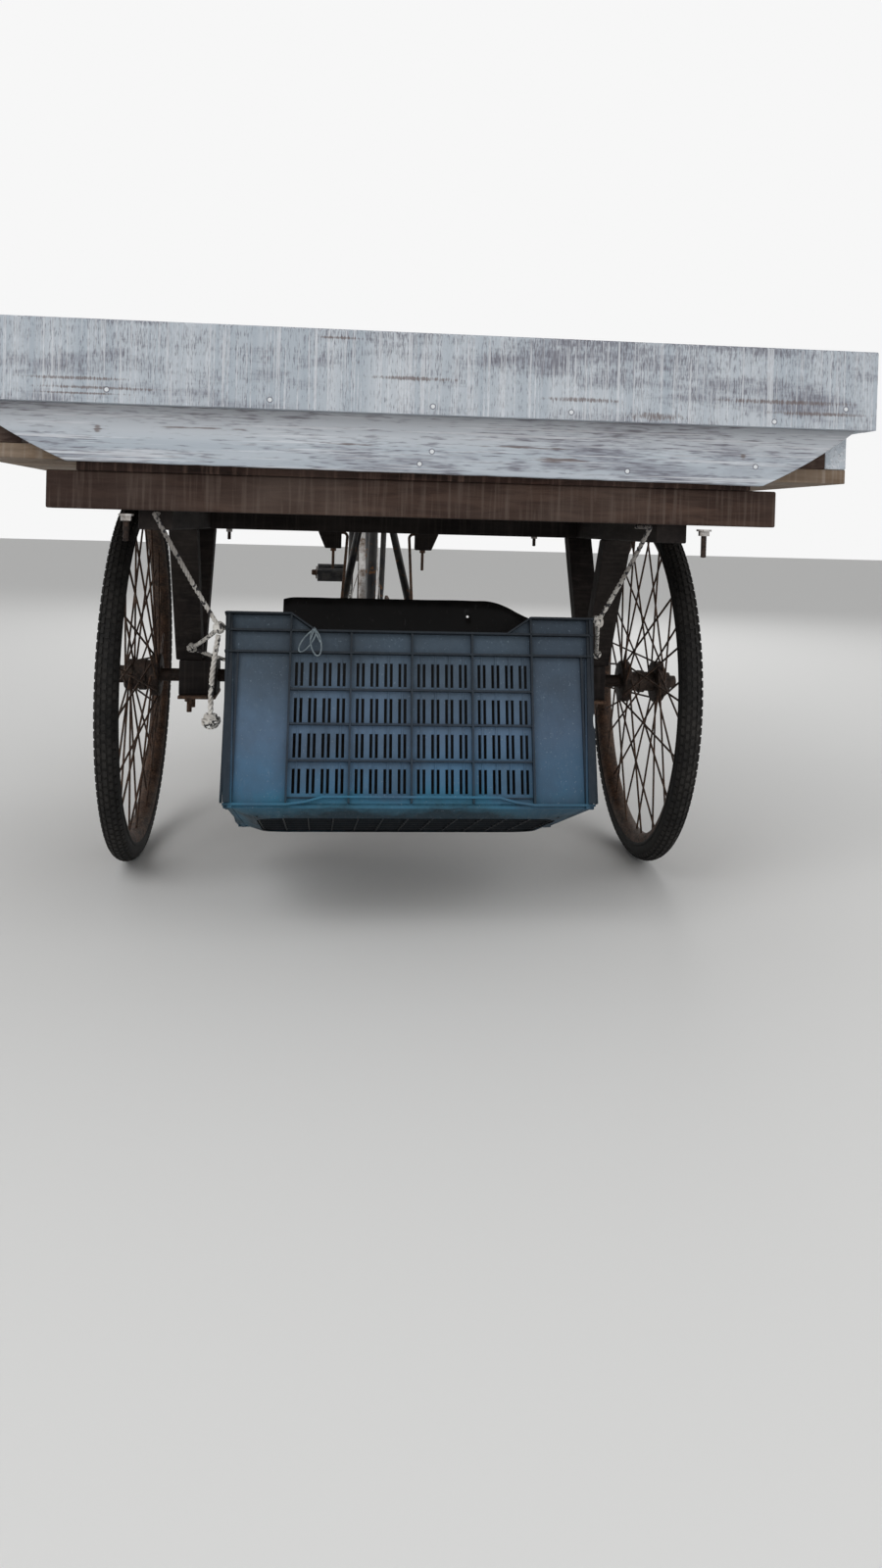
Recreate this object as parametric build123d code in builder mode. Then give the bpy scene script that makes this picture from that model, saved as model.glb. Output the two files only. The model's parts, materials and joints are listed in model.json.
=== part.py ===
from build123d import *
import math
import os

# Cargo cycle rickshaw: a pedal-driven tricycle with a wooden loading deck over two rear wheels.
# Millimetres. +Y is forward, +X is the rider's right, the tyres stand on Z = 0.

# Wheels
tyre_radius = 355.5
tyre_section_radius = 21.5
tread_half = 10.0
rim_outer_radius = 318.0
rim_inner_radius = 303.0
rim_outer_half = 17.0
rim_inner_half = 9.0
spoke_size = 3.0
spoke_count = 36
spoke_cross_deg = 60.0
wheel_base = 2000.0
track_half = 504.0

# Rear axle and its carriers
axle_radius = 12.5
running_gap = 0.05
hub_flange_radius = 41.5
hub_flange_offset = 35.0
hub_flange_thick = 18.0
hub_barrel_radius = 19.5
hub_end_radius = 17.0
hub_half = 46.0
drum_offset = 16.0
drum_flange_radius = 30.0
drum_barrel_radius = 28.5
block_x = 385.0
block_half_x = 36.0
block_half_y = 42.0
block_half_z = 34.0
plate_thick = 6.0
bolt_radius = 5.0
bolt_inset = 16.0
bolt_low = 287.0

# Deck
tail_reach = 617.0
upper_board_thick = 40.0
lower_board_thick = 20.0
upper_board_low = 826.0
upper_board_high = 946.0
deck_half = 690.0
lower_board_low = 737.0
lower_board_inset = 22.0
lower_board_foot_half = 522.0
lower_board_end_sag = 5.0
floor_low = 745.0
floor_thick = 22.0
floor_inset = 28.0
plank_count = 13
plank_gap = 6.0
deck_front = 1093.0
side_board_thick = 32.0
rail_thick = 34.0
post_size = 40.0
sill_half = 25.0
sill_x = 402.0
sill_low = 645.0
middle_sill_low = 685.0
tail_beam_low = 674.0
tail_beam_high = 730.0
tail_beam_half = 554.0
beam_depth = 45.0
batten_half = 510.0

# Cycle frame
bracket_y = 1385.0
bracket_z = 335.0
seat_angle = 74.0
seat_tube_length = 500.0
frame_tube_radius = 14.3
slim_tube_radius = 12.7
stay_radius = 11.0
inner_stay_x = 25.0
outer_stay_x = 135.0
stay_joint_x = 100.0
stay_joint_z = 405.0
stay_lug_height = 28.0
head_angle = 68.0
fork_rake = 60.0
steerer_radius = 12.7
head_tube_radius = 18.0
head_low = 431.0
head_high = 586.0
blade_x = 57.0
blade_radius = 10.0
front_axle_radius = 5.0

# Drive
crank_length = 170.0
ring_pitch_radius = 97.0
sprocket_pitch_radius = 44.5
chain_half_height = 4.0
chain_x = 50.0
chain_half_width = 4.0
mesh_gap = 0.5
ring_sides = 24
sprocket_sides = 22

# Crate, tied on under the deck and tipped towards the axle
crate_length = 600.0
crate_width = 400.0
crate_height = 320.0
crate_taper = 10.0
crate_wall = 3.5
crate_tip_deg = 19.0
crate_x = 0.0
crate_back_y = -440.0
crate_back_z = 517.0

# The origin is below the middle of the whole length
axle_y = (tail_reach - wheel_base - tyre_radius) / 2
front_y = axle_y + wheel_base
floor_half = deck_half - floor_inset

os.makedirs("parts", exist_ok=True)


def block(x0, x1, y0, y1, z0, z1, mode=Mode.ADD):
    with Locations((x0, y0, z0)):
        Box(x1 - x0, y1 - y0, z1 - z0, align=(Align.MIN, Align.MIN, Align.MIN), mode=mode)


def rod(start, end, radius, mode=Mode.ADD):
    run = Vector(*end) - Vector(*start)
    with Locations(Plane(origin=start, z_dir=run).location):
        Cylinder(radius, run.length, align=(Align.CENTER, Align.CENTER, Align.MIN), mode=mode)


def pin(start, end, radius, sides=8, mode=Mode.ADD):
    run = Vector(*end) - Vector(*start)
    with BuildSketch(Plane(origin=start, z_dir=run)) as section:
        RegularPolygon(radius, sides)
    extrude(section.sketch, amount=run.length, mode=mode)


def bent_rod(points, bend, radius, sides=0):
    with BuildLine() as path:
        FilletPolyline(*points, radius=bend)
    with BuildSketch(Plane(origin=path.line @ 0, z_dir=path.line % 0)) as section:
        if sides:
            RegularPolygon(radius, sides)
        else:
            Circle(radius)
    sweep(section.sketch, path=path.line)


def finish(builder, label):
    builder.part.label = label
    export_step(builder.part, "parts/" + label + ".step")


# Deck: tail boards
tail_y = axle_y - tail_reach
board_front_y = tail_y + upper_board_thick
nose_y = axle_y + deck_front
floor_high = floor_low + floor_thick

with BuildPart() as tail_board_upper:
    block(-deck_half, deck_half, tail_y, board_front_y, upper_board_low, upper_board_high)
    fillet(tail_board_upper.edges().filter_by(Axis.X).group_by(Axis.Z)[-1], 4)
finish(tail_board_upper, "tail_board_upper")

lower_board_half = deck_half - lower_board_inset
with BuildPart() as tail_board_lower:
    with BuildSketch(Plane.XZ.offset(-board_front_y)):
        with BuildLine():
            for side in (-1, 1):
                foot = (side * lower_board_foot_half, lower_board_low)
                high = (side * lower_board_half, upper_board_low)
                Line((0, lower_board_low), foot)
                SagittaArc(foot, high, -side * lower_board_end_sag)
            Line((-lower_board_half, upper_board_low), (lower_board_half, upper_board_low))
        make_face()
    extrude(amount=lower_board_thick)
finish(tail_board_lower, "tail_board_lower")

with BuildPart() as side_boards:
    for side in (-1, 1):
        inner = deck_half - side_board_thick
        x0, x1 = sorted((side * inner, side * deck_half))
        block(x0, x1, board_front_y, nose_y - side_board_thick, upper_board_low, upper_board_high)
finish(side_boards, "side_boards")

with BuildPart() as front_board:
    block(-deck_half, deck_half, nose_y - side_board_thick, nose_y, upper_board_low, upper_board_high)
finish(front_board, "front_board")

rail_front_y = nose_y - side_board_thick + 4
rail_back_y = rail_front_y - lower_board_thick
with BuildPart() as side_rails:
    for side in (-1, 1):
        x0, x1 = sorted((side * (floor_half - rail_thick), side * floor_half))
        block(x0, x1, board_front_y, rail_back_y, floor_high, upper_board_low)
finish(side_rails, "side_rails")

with BuildPart() as front_rail:
    block(-floor_half, floor_half, rail_back_y, rail_front_y, floor_low, upper_board_low)
finish(front_rail, "front_rail")

# Posts nailed inside the boards, in the corners and along the sides
post_outer = deck_half - side_board_thick
post_rows = (board_front_y, (board_front_y + rail_back_y) / 2, rail_back_y - post_size)
with BuildPart() as deck_posts:
    for side in (-1, 1):
        x0, x1 = sorted((side * (floor_half - rail_thick - post_size), side * (floor_half - rail_thick)))
        for y in post_rows:
            block(x0, x1, y, y + post_size, floor_high, upper_board_high - 12)
finish(deck_posts, "deck_posts")

with BuildPart() as post_cleats:
    for side in (-1, 1):
        x0, x1 = sorted((side * (floor_half - rail_thick), side * post_outer))
        for y in post_rows:
            block(x0, x1, y, y + post_size, upper_board_low, upper_board_high - 12)
finish(post_cleats, "post_cleats")

# Floor: planks laid across three sills
floor_run = rail_back_y - board_front_y
plank_pitch = (floor_run + plank_gap) / plank_count
with BuildPart() as floor_planks:
    for index in range(plank_count):
        y = board_front_y + index * plank_pitch
        block(-floor_half, floor_half, y, y + plank_pitch - plank_gap, floor_low, floor_high)
finish(floor_planks, "floor_planks")

tail_beam_y = board_front_y + 7
sill_back_y = tail_beam_y + beam_depth
front_beam_y = rail_front_y - beam_depth
cross_rows = (axle_y + 80, axle_y + 930)
cross_half = 22.0
middle_ends = (sill_back_y, cross_rows[0] - cross_half, cross_rows[0] + cross_half, cross_rows[1] - cross_half)
with BuildPart() as sills:
    for x in (-sill_x, sill_x):
        block(x - sill_half, x + sill_half, sill_back_y, front_beam_y, sill_low, floor_low)
    for y0, y1 in (middle_ends[:2], middle_ends[2:], (cross_rows[1] + cross_half, front_beam_y)):
        block(-sill_half, sill_half, y0, y1, middle_sill_low, floor_low)
finish(sills, "sills")

with BuildPart() as tail_beam:
    block(-tail_beam_half, tail_beam_half, tail_beam_y, sill_back_y, tail_beam_low, tail_beam_high)
finish(tail_beam, "tail_beam")

with BuildPart() as tail_batten:
    block(-batten_half, batten_half, board_front_y, sill_back_y, tail_beam_high, floor_low)
finish(tail_batten, "tail_batten")

with BuildPart() as cross_beams:
    block(-tail_beam_half, tail_beam_half, front_beam_y, front_beam_y + beam_depth, sill_low, floor_low)
    for y in cross_rows:
        block(sill_half - sill_x, sill_x - sill_half, y - cross_half, y + cross_half, sill_low, floor_low)
finish(cross_beams, "cross_beams")

# Underframe: V struts from the axle blocks up to the outer sills
block_top = tyre_radius + block_half_z
block_low = tyre_radius - block_half_z
with BuildPart() as struts:
    for side in (-1, 1):
        for lean in (-1, 1):
            with BuildSketch(Plane.YZ.offset(side * sill_x - 25)):
                with BuildLine():
                    Polyline(
                        (axle_y + lean * 2, block_top),
                        (axle_y + lean * 40, block_top),
                        (axle_y + lean * 190, sill_low),
                        (axle_y + lean * 145, sill_low),
                        close=True,
                    )
                make_face()
            extrude(amount=50)
finish(struts, "struts")

bolt_places = [(side * (block_x + bolt_inset), axle_y + lean * 30) for side in (-1, 1) for lean in (-1, 1)]
with BuildPart() as axle_blocks:
    for side in (-1, 1):
        x = side * block_x
        x0, x1 = x - block_half_x, x + block_half_x
        block(x0, x1, axle_y - block_half_y, axle_y + block_half_y, block_low, block_top)
    rod((-600, axle_y, tyre_radius), (600, axle_y, tyre_radius), axle_radius + running_gap, Mode.SUBTRACT)
    for x, y in bolt_places:
        pin((x, y, block_low), (x, y, block_top), bolt_radius, mode=Mode.SUBTRACT)
finish(axle_blocks, "axle_blocks")

with BuildPart() as block_plates:
    for side in (-1, 1):
        x = side * block_x
        x0, x1 = x - block_half_x, x + block_half_x
        block(x0, x1, axle_y - 56, axle_y + 56, block_low - plate_thick, block_low)
    for x, y in bolt_places:
        pin((x, y, block_low - plate_thick), (x, y, block_low), bolt_radius, mode=Mode.SUBTRACT)
finish(block_plates, "block_plates")

nut_high = block_low - plate_thick
nut_thick = 8.0
with BuildPart() as block_bolts:
    for x, y in bolt_places:
        pin((x, y, bolt_low), (x, y, block_top), bolt_radius)
        pin((x, y, nut_high - nut_thick), (x, y, nut_high), 1.85 * bolt_radius, 6)
finish(block_bolts, "block_bolts")

# Hangers: wooden blocks under the front cross beam, each with a bolt and a bent rod down to the stays
hanger_y = cross_rows[1]
hanger_inner = 103.0
hanger_outer = 167.0
hanger_foot = 148.0
hanger_lip = 8.0
hanger_low = sill_low - 52
with BuildPart() as hanger_blocks:
    for side in (-1, 1):
        with BuildSketch(Plane.XZ.offset(-(hanger_y - cross_half))):
            with BuildLine():
                Polyline(
                    (side * hanger_inner, sill_low),
                    (side * hanger_outer, sill_low),
                    (side * hanger_outer, sill_low - hanger_lip),
                    (side * hanger_foot, hanger_low),
                    (side * hanger_inner, hanger_low),
                    close=True,
                )
            make_face()
        extrude(amount=-2 * cross_half)
finish(hanger_blocks, "hanger_blocks")


def mirrored(points):
    return [(-x, y, z) for x, y, z in points]


# Cycle frame: one brazed set of tubes
bracket = (0, axle_y + bracket_y, bracket_z)
seat_run = Vector(0, -math.cos(math.radians(seat_angle)), math.sin(math.radians(seat_angle)))
head_run = Vector(0, -math.cos(math.radians(head_angle)), math.sin(math.radians(head_angle)))
head_ahead = Vector(0, math.sin(math.radians(head_angle)), math.cos(math.radians(head_angle)))
head_base = Vector(0, front_y, tyre_radius) - head_ahead * fork_rake


def up_head(distance, x=0.0):
    point = head_base + head_run * distance
    return (x, point.Y, point.Z)


def up_seat(distance, x=0.0):
    point = Vector(*bracket) + seat_run * distance
    return (x, point.Y, point.Z)


# Each long stay runs from the seat cluster down to a lug below its hanger, and back to the axle
stay_points = [up_seat(480, 20), (stay_joint_x, hanger_y, stay_joint_z), (outer_stay_x, axle_y, tyre_radius)]
lug_top = stay_joint_z + stay_lug_height
tie_z = 690.0
tie_y = axle_y + bracket_y - (tie_z - bracket_z) / math.tan(math.radians(seat_angle))
with BuildPart() as cycle_frame:
    rod((-34, bracket[1], bracket[2]), (34, bracket[1], bracket[2]), 21)
    rod(up_seat(0), up_seat(seat_tube_length), frame_tube_radius)
    rod(up_head(head_low), up_head(head_high), head_tube_radius)
    rod(up_seat(480), up_head(566), slim_tube_radius)
    rod(up_seat(330), up_head(505), slim_tube_radius)
    rod(up_seat(0), up_head(464), frame_tube_radius)
    rod((0, tie_y, tie_z), (0, nose_y - side_board_thick + 12, tie_z), slim_tube_radius)
    block(-45, 45, front_beam_y + beam_depth, front_beam_y + beam_depth + 8, sill_low + 8, floor_low - 12)
    for side in (-1, 1):
        x = side * inner_stay_x
        rod((x, bracket[1], bracket_z), (x, axle_y, tyre_radius), stay_radius)
        rod((x - 12, axle_y, tyre_radius), (x + 12, axle_y, tyre_radius), 23)
        bent_rod(stay_points if side > 0 else mirrored(stay_points), 60, stay_radius)
        x = side * stay_joint_x
        block(x - 10, x + 10, hanger_y - 22, hanger_y + 18, stay_joint_z - 8, lug_top)
        x = side * outer_stay_x
        rod((x - 14, axle_y, tyre_radius), (x + 14, axle_y, tyre_radius), 24)
    rod((-36, bracket[1], bracket_z), (36, bracket[1], bracket_z), 10 + running_gap, Mode.SUBTRACT)
    rod((-200, axle_y, tyre_radius), (200, axle_y, tyre_radius), axle_radius + running_gap, Mode.SUBTRACT)
    rod(up_head(head_low - 10), up_head(head_high + 10), steerer_radius + running_gap, Mode.SUBTRACT)
    rod(up_seat(seat_tube_length - 80), up_seat(seat_tube_length + 5), 11, Mode.SUBTRACT)
finish(cycle_frame, "cycle_frame")

hanger_bolt_x = 125.0
hanger_bolt_low = 536.0
rod_radius = 4.0
rod_top = sill_low - hanger_lip
rod_foot = (stay_joint_x - 1, hanger_y, lug_top)
rod_points = [(hanger_inner, hanger_y, rod_top), (86, hanger_y, rod_top), rod_foot]
with BuildPart() as hanger_rods:
    for side in (-1, 1):
        x = side * hanger_bolt_x
        pin((x, hanger_y, hanger_bolt_low), (x, hanger_y, hanger_low), rod_radius)
        pin((x, hanger_y, hanger_low - nut_thick), (x, hanger_y, hanger_low), 2 * rod_radius, 6)
        bent_rod(rod_points if side > 0 else mirrored(rod_points), 12, rod_radius, 8)
    block(-150, 150, hanger_y - 20, hanger_y + 20, lug_top - 20, lug_top, Mode.SUBTRACT)
finish(hanger_rods, "hanger_rods")

# Saddle
saddle_lift = 180.0
saddle_drop = 40.0
saddle_seat_gap = 0.3
saddle_clamp = up_seat(seat_tube_length + saddle_lift)
with BuildPart() as seat_post:
    rod(up_seat(seat_tube_length - 80), saddle_clamp, 11)
finish(seat_post, "seat_post")

saddle_y = saddle_clamp[1]
saddle_z = saddle_clamp[2] + 60
saddle_sections = (
    # along, half width, height of the crown
    (-130, 62, 8),
    (-105, 92, 13),
    (-60, 99, 16),
    (0, 66, 15),
    (60, 38, 12),
    (130, 22, 10),
)
with BuildPart() as saddle:
    for along, half, crown in saddle_sections:
        low = saddle_z - saddle_drop
        with BuildSketch(Plane.XZ.offset(-(saddle_y + along))):
            with BuildLine():
                Polyline(
                    (-half, low),
                    (-half * 0.94, low + saddle_drop * 0.55),
                    (-half * 0.68, low + saddle_drop * 0.88),
                    (-half * 0.3, saddle_z + crown * 0.4),
                    (half * 0.3, saddle_z + crown * 0.4),
                    (half * 0.68, low + saddle_drop * 0.88),
                    (half * 0.94, low + saddle_drop * 0.55),
                    (half, low),
                    close=True,
                )
            make_face()
    loft(ruled=True)
finish(saddle, "saddle")

saddle_under = saddle_z - saddle_drop - saddle_seat_gap
spring_x = 55.0
spring_height = 34.0
rail_x = 22.0
with BuildPart() as saddle_frame:
    block(-30, 30, saddle_y - 20, saddle_y + 20, saddle_clamp[2] - 20, saddle_under - 6)
    for side in (-1, 1):
        rail_front = (side * rail_x, saddle_y + 104, saddle_under - 12)
        pin((side * rail_x, saddle_y - 100, saddle_under - 26), rail_front, 4)
        pin(
            (side * spring_x, saddle_y - 95, saddle_under - spring_height),
            (side * spring_x, saddle_y - 95, saddle_under),
            17,
            16,
        )
    pin((-spring_x, saddle_y - 95, saddle_under - 26), (spring_x, saddle_y - 95, saddle_under - 26), 5)
    pin((0, saddle_y + 100, saddle_under - 14), (0, saddle_y + 100, saddle_under), 9)
    pin((-rail_x, saddle_y + 100, saddle_under - 12), (rail_x, saddle_y + 100, saddle_under - 12), 5)
    rod(up_seat(seat_tube_length), saddle_clamp, 11, Mode.SUBTRACT)
finish(saddle_frame, "saddle_frame")

# Crate: tapered walls, ring ribs and a dipped rim between the corner blocks
tip = math.radians(crate_tip_deg)
crate_up = Vector(0, math.sin(tip), math.cos(tip))
crate_ahead = Vector(0, math.cos(tip), -math.sin(tip))
crate_edge = Vector(crate_x, axle_y + crate_back_y, crate_back_z)
crate_plane = Plane(
    origin=crate_edge + crate_ahead * (crate_width / 2) - crate_up * crate_height,
    x_dir=(1, 0, 0),
    z_dir=crate_up,
)
crate_rib_rows = (317.0, 288.0, 256.0, 197.0, 142.0, 85.0, 20.0)
crate_rib_x = (-294.0, -278.0, -195.0, -98.0, 0.0, 98.0, 195.0, 278.0, 294.0)
crate_rib_thick = 3.0
crate_base = 18.0
rib_reach = 10.0


def crate_half(height):
    spread = crate_taper * (1 - height / crate_height)
    return crate_length / 2 - rib_reach - spread, crate_width / 2 - rib_reach - spread


def cut_rectangle(half_x, half_y, cut):
    soft = cut * 0.3
    corner = [(half_x - cut, half_y), (half_x - soft, half_y - soft), (half_x, half_y - cut)]
    back = [(x, -y) for x, y in reversed(corner)]
    left = [(-x, y) for x, y in reversed(corner + back)]
    Polygon(*corner, *back, *left, align=None)


def crate_block(x0, x1, y0, y1, z0, z1, mode=Mode.ADD):
    with Locations(crate_plane.location):
        with Locations((x0, y0, z0)):
            Box(x1 - x0, y1 - y0, z1 - z0, align=(Align.MIN, Align.MIN, Align.MIN), mode=mode)


with BuildPart() as crate:
    for index, height in enumerate(crate_rib_rows):
        half_x, half_y = crate_half(height)
        with BuildSketch(crate_plane.offset(height)):
            cut_rectangle(half_x + rib_reach, half_y + rib_reach, 14)
            Rectangle(2 * half_x - 2, 2 * half_y - 2, mode=Mode.SUBTRACT)
        extrude(amount=crate_rib_thick)
    for x in crate_rib_x:
        for side in (-1, 1):
            high_half = crate_half(crate_height)[1]
            low_half = crate_half(crate_base)[1]
            with BuildSketch(Plane(crate_plane.location * Plane.YZ.offset(x - 1.5).location)):
                with BuildLine():
                    Polyline(
                        (side * (low_half - 1), crate_base + 3),
                        (side * (low_half + rib_reach), crate_base + 3),
                        (side * (high_half + rib_reach), crate_height),
                        (side * (high_half - 1), crate_height),
                        close=True,
                    )
                make_face()
            extrude(amount=crate_rib_thick)
    with BuildSketch(crate_plane.offset(crate_base)):
        cut_rectangle(*crate_half(crate_base), 10)
    with BuildSketch(crate_plane.offset(crate_height)):
        cut_rectangle(*crate_half(crate_height), 10)
    loft()
    with BuildSketch(crate_plane):
        cut_rectangle(crate_half(0)[0] - 25, crate_half(0)[1] - 25, 24)
    with BuildSketch(crate_plane.offset(crate_base)):
        cut_rectangle(crate_half(0)[0] - 6, crate_half(0)[1] - 6, 16)
    loft()
    inner_low = crate_half(crate_base + crate_wall)
    inner_high = crate_half(crate_height)
    with BuildSketch(crate_plane.offset(crate_base + crate_wall)):
        cut_rectangle(inner_low[0] - crate_wall, inner_low[1] - crate_wall, 8)
    with BuildSketch(crate_plane.offset(crate_height + 0.1)):
        cut_rectangle(inner_high[0] - crate_wall, inner_high[1] - crate_wall, 8)
    loft(mode=Mode.SUBTRACT)
    crate_block(-155, 155, -210, 210, crate_height - 25, crate_height + 1, Mode.SUBTRACT)
    for x in range(-250, 250, 100):
        crate_block(x + 2, x + 98, -160, 160, -1, crate_base - 6, Mode.SUBTRACT)
finish(crate, "crate")

# Liner: a plastic sheet that stands in the crate along the far wall and round the right side
liner_thick = 2.0
with BuildPart() as crate_liner:
    half_x, half_y = crate_half(crate_base + crate_wall)
    edge_x = half_x - crate_wall - 6
    edge_y = half_y - crate_wall - 6
    liner_low = crate_base + crate_wall
    with BuildSketch(crate_plane.offset(liner_low)):
        RectangleRounded(2 * edge_x, 2 * edge_y, 45)
        inside_x, inside_y = edge_x - liner_thick, edge_y - liner_thick
        RectangleRounded(2 * inside_x, 2 * inside_y, 45 - liner_thick, mode=Mode.SUBTRACT)
        with Locations((-edge_x, -edge_y)):
            Rectangle(2 * edge_x - 50, 2 * edge_y - 50, align=(Align.MIN, Align.MIN), mode=Mode.SUBTRACT)
        with Locations((0, -edge_y)):
            Rectangle(edge_x + 10, edge_y - 60, align=(Align.MIN, Align.MIN), mode=Mode.SUBTRACT)
    extrude(amount=430 - liner_low)
    with BuildSketch(Plane(crate_plane.location * Plane.XZ.offset(300).location)) as liner_cut:
        with BuildLine():
            Line((-400, 330), (-400, 600))
            Line((-400, 600), (400, 600))
            Line((400, 600), (400, 300))
            Line((400, 300), (262, 300))
            ThreePointArc((262, 300), (215, 385), (120, 430))
            Line((120, 430), (-200, 430))
            ThreePointArc((-200, 430), (-255, 400), (-285, 330))
            Line((-285, 330), (-400, 330))
        make_face()
    extrude(amount=-700, mode=Mode.SUBTRACT)
finish(crate_liner, "crate_liner")

# Rope lashings: from the tail beam to the crate's near corners, and from its corners to the struts
rope_radius = 4.5
knot_radius = 11.0
foot_radius = 10.0
knot_gap = 0.3
lash_places = (
    # side, top x, top y, how far the near knot has slipped down
    (-1, -400.0, -548.0, 22.0),
    (1, 361.0, -548.0, 0.0),
)
knot_drop = 1.5


def by_crate(x, along, height):
    point = crate_plane.origin + Vector(x, 0, 0) + crate_ahead * along + crate_up * height
    return (point.X, point.Y, point.Z)


def knot_place(side, along, drop):
    height = crate_height - knot_drop - drop
    return by_crate(side * (crate_half(height)[0] + rib_reach + knot_radius + knot_gap), along, height)


strut_run = Vector(0, -150, sill_low - block_top).normalized()
strut_out = Vector(0, -strut_run.Z, strut_run.Y)
foot_reach = foot_radius * (abs(strut_out.Y) + abs(strut_out.Z)) + knot_gap
foot_point = Vector(0, axle_y - 40, block_top) + strut_run * 40 + strut_out * foot_reach
with BuildPart() as lashings:
    for side, top_x, top_y, drop in lash_places:
        knot = knot_place(side, -182, drop)
        far_knot = knot_place(side, 182, 0)
        foot = (side * (sill_x - 8), foot_point.Y, foot_point.Z)
        pin((top_x, axle_y + top_y, tail_beam_low - 8), knot, rope_radius)
        pin(knot, foot, rope_radius)
        pin(far_knot, foot, rope_radius)
        for center, size in ((knot, knot_radius), (far_knot, knot_radius), (foot, foot_radius)):
            with BuildSketch(Plane.XY.offset(center[2] - size)):
                with Locations(center[:2]):
                    RegularPolygon(size, 8)
            extrude(amount=2 * size)
        with BuildSketch(Plane.XY.offset(tail_beam_low - 14)):
            with Locations((top_x, axle_y + top_y)):
                RegularPolygon(9, 8)
        extrude(amount=14)
finish(lashings, "lashings")

tail_knot = knot_place(-1, -182, lash_places[0][3])
tail_points = [
    (tail_knot[0] - 1, tail_knot[1] - 1, tail_knot[2] - knot_radius - 0.8),
    (tail_knot[0] - 7, tail_knot[1] - 4, tail_knot[2] - 52),
    (tail_knot[0] - 11, tail_knot[1] - 5, tail_knot[2] - 102),
    (tail_knot[0] - 10, tail_knot[1] - 5, tail_knot[2] - 152),
]
with BuildPart() as rope_tail:
    bent_rod(tail_points, 120, rope_radius, 8)
finish(rope_tail, "rope_tail")

# Chain and sprocket
with BuildPart() as chain:
    with BuildSketch(Plane.YZ.offset(chain_x - chain_half_width)):
        with Locations((bracket[1], bracket_z)):
            RegularPolygon(ring_pitch_radius + chain_half_height, ring_sides)
        with Locations((axle_y, tyre_radius)):
            RegularPolygon(sprocket_pitch_radius + chain_half_height, sprocket_sides)
        make_hull()
    extrude(amount=2 * chain_half_width)
    with BuildSketch(Plane.YZ.offset(chain_x - chain_half_width)):
        with Locations((bracket[1], bracket_z)):
            RegularPolygon(ring_pitch_radius - chain_half_height, ring_sides)
        with Locations((axle_y, tyre_radius)):
            RegularPolygon(sprocket_pitch_radius - chain_half_height, sprocket_sides)
        make_hull()
    extrude(amount=2 * chain_half_width, mode=Mode.SUBTRACT)
finish(chain, "chain")

sprocket_root = (sprocket_pitch_radius - chain_half_height) * math.cos(math.pi / sprocket_sides)
with BuildPart() as sprocket:
    x0 = chain_x - chain_half_width
    rod((x0, axle_y, tyre_radius), (x0 + 8, axle_y, tyre_radius), sprocket_root)
    rod((x0, axle_y, tyre_radius), (x0 + 16, axle_y, tyre_radius), 27)
    bore = axle_radius + running_gap
    rod((x0 - 1, axle_y, tyre_radius), (x0 + 20, axle_y, tyre_radius), bore, Mode.SUBTRACT)
finish(sprocket, "sprocket")

# Crank set and pedals
ring_root = (ring_pitch_radius - chain_half_height) * math.cos(math.pi / ring_sides) - mesh_gap
arm_inner = 62.0
arm_thick = 12.0
with BuildPart() as crank_set:
    rod((-arm_inner, bracket[1], bracket_z), (arm_inner, bracket[1], bracket_z), 10)
    with BuildSketch(Plane.YZ.offset(chain_x - 2)):
        with Locations((bracket[1], bracket_z)):
            Circle(ring_root)
            Circle(ring_root - 14, mode=Mode.SUBTRACT)
            Circle(28)
            with PolarLocations(0, 5, start_angle=18):
                with Locations((53, 0)):
                    Rectangle(64, 11)
    extrude(amount=4)
    for side, lift in ((-1, 1), (1, -1)):
        x0 = arm_inner if side > 0 else -arm_inner - arm_thick
        with BuildSketch(Plane.YZ.offset(x0)):
            with Locations((bracket[1], bracket_z)):
                Circle(17)
            with Locations((bracket[1], bracket_z + lift * crank_length)):
                Circle(12)
            make_hull()
        extrude(amount=arm_thick)
finish(crank_set, "crank_set")

pedal_half = 47.0
pedal_gap = 9.0
pedal_nut = 13.0
pedal_row = 25.0
pedal_deep = 28.0
pedal_high = 38.0
pedal_x = arm_inner + arm_thick + pedal_gap + pedal_half
pedal_places = (
    # side, lift of its crank, nose-up tilt
    (-1, 1, 14.0),
    (1, -1, 0.0),
)
with BuildPart() as pedals:
    for side, lift, tilt in pedal_places:
        center = (side * pedal_x, bracket[1], bracket_z + lift * crank_length)
        inner = side * (arm_inner + arm_thick)
        rod((inner, *center[1:]), (side * (pedal_x + pedal_half + pedal_nut), *center[1:]), 6)
        with Locations(Location(center, (tilt, 0, 0))):
            with Locations((0, -pedal_row, 0), (0, pedal_row, 0)):
                Box(2 * pedal_half, pedal_deep, pedal_high)
            with Locations((3 - pedal_half, 0, 0), (pedal_half - 3, 0, 0)):
                Box(6, 2 * pedal_row, 20)
finish(pedals, "pedals")


def make_tyre(label, x, y):
    with BuildPart() as tyre:
        with BuildSketch(Plane.XY.offset(tyre_radius)):
            with BuildLine():
                Polyline(
                    (x - rim_outer_half, y + rim_outer_radius),
                    (x - tyre_section_radius, y + tyre_radius - tyre_section_radius),
                    (x - tread_half, y + tyre_radius),
                    (x + tread_half, y + tyre_radius),
                    (x + tyre_section_radius, y + tyre_radius - tyre_section_radius),
                    (x + rim_outer_half, y + rim_outer_radius),
                    close=True,
                )
            make_face()
        revolve(axis=Axis((x, y, tyre_radius), (1, 0, 0)))
    finish(tyre, label)


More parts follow.
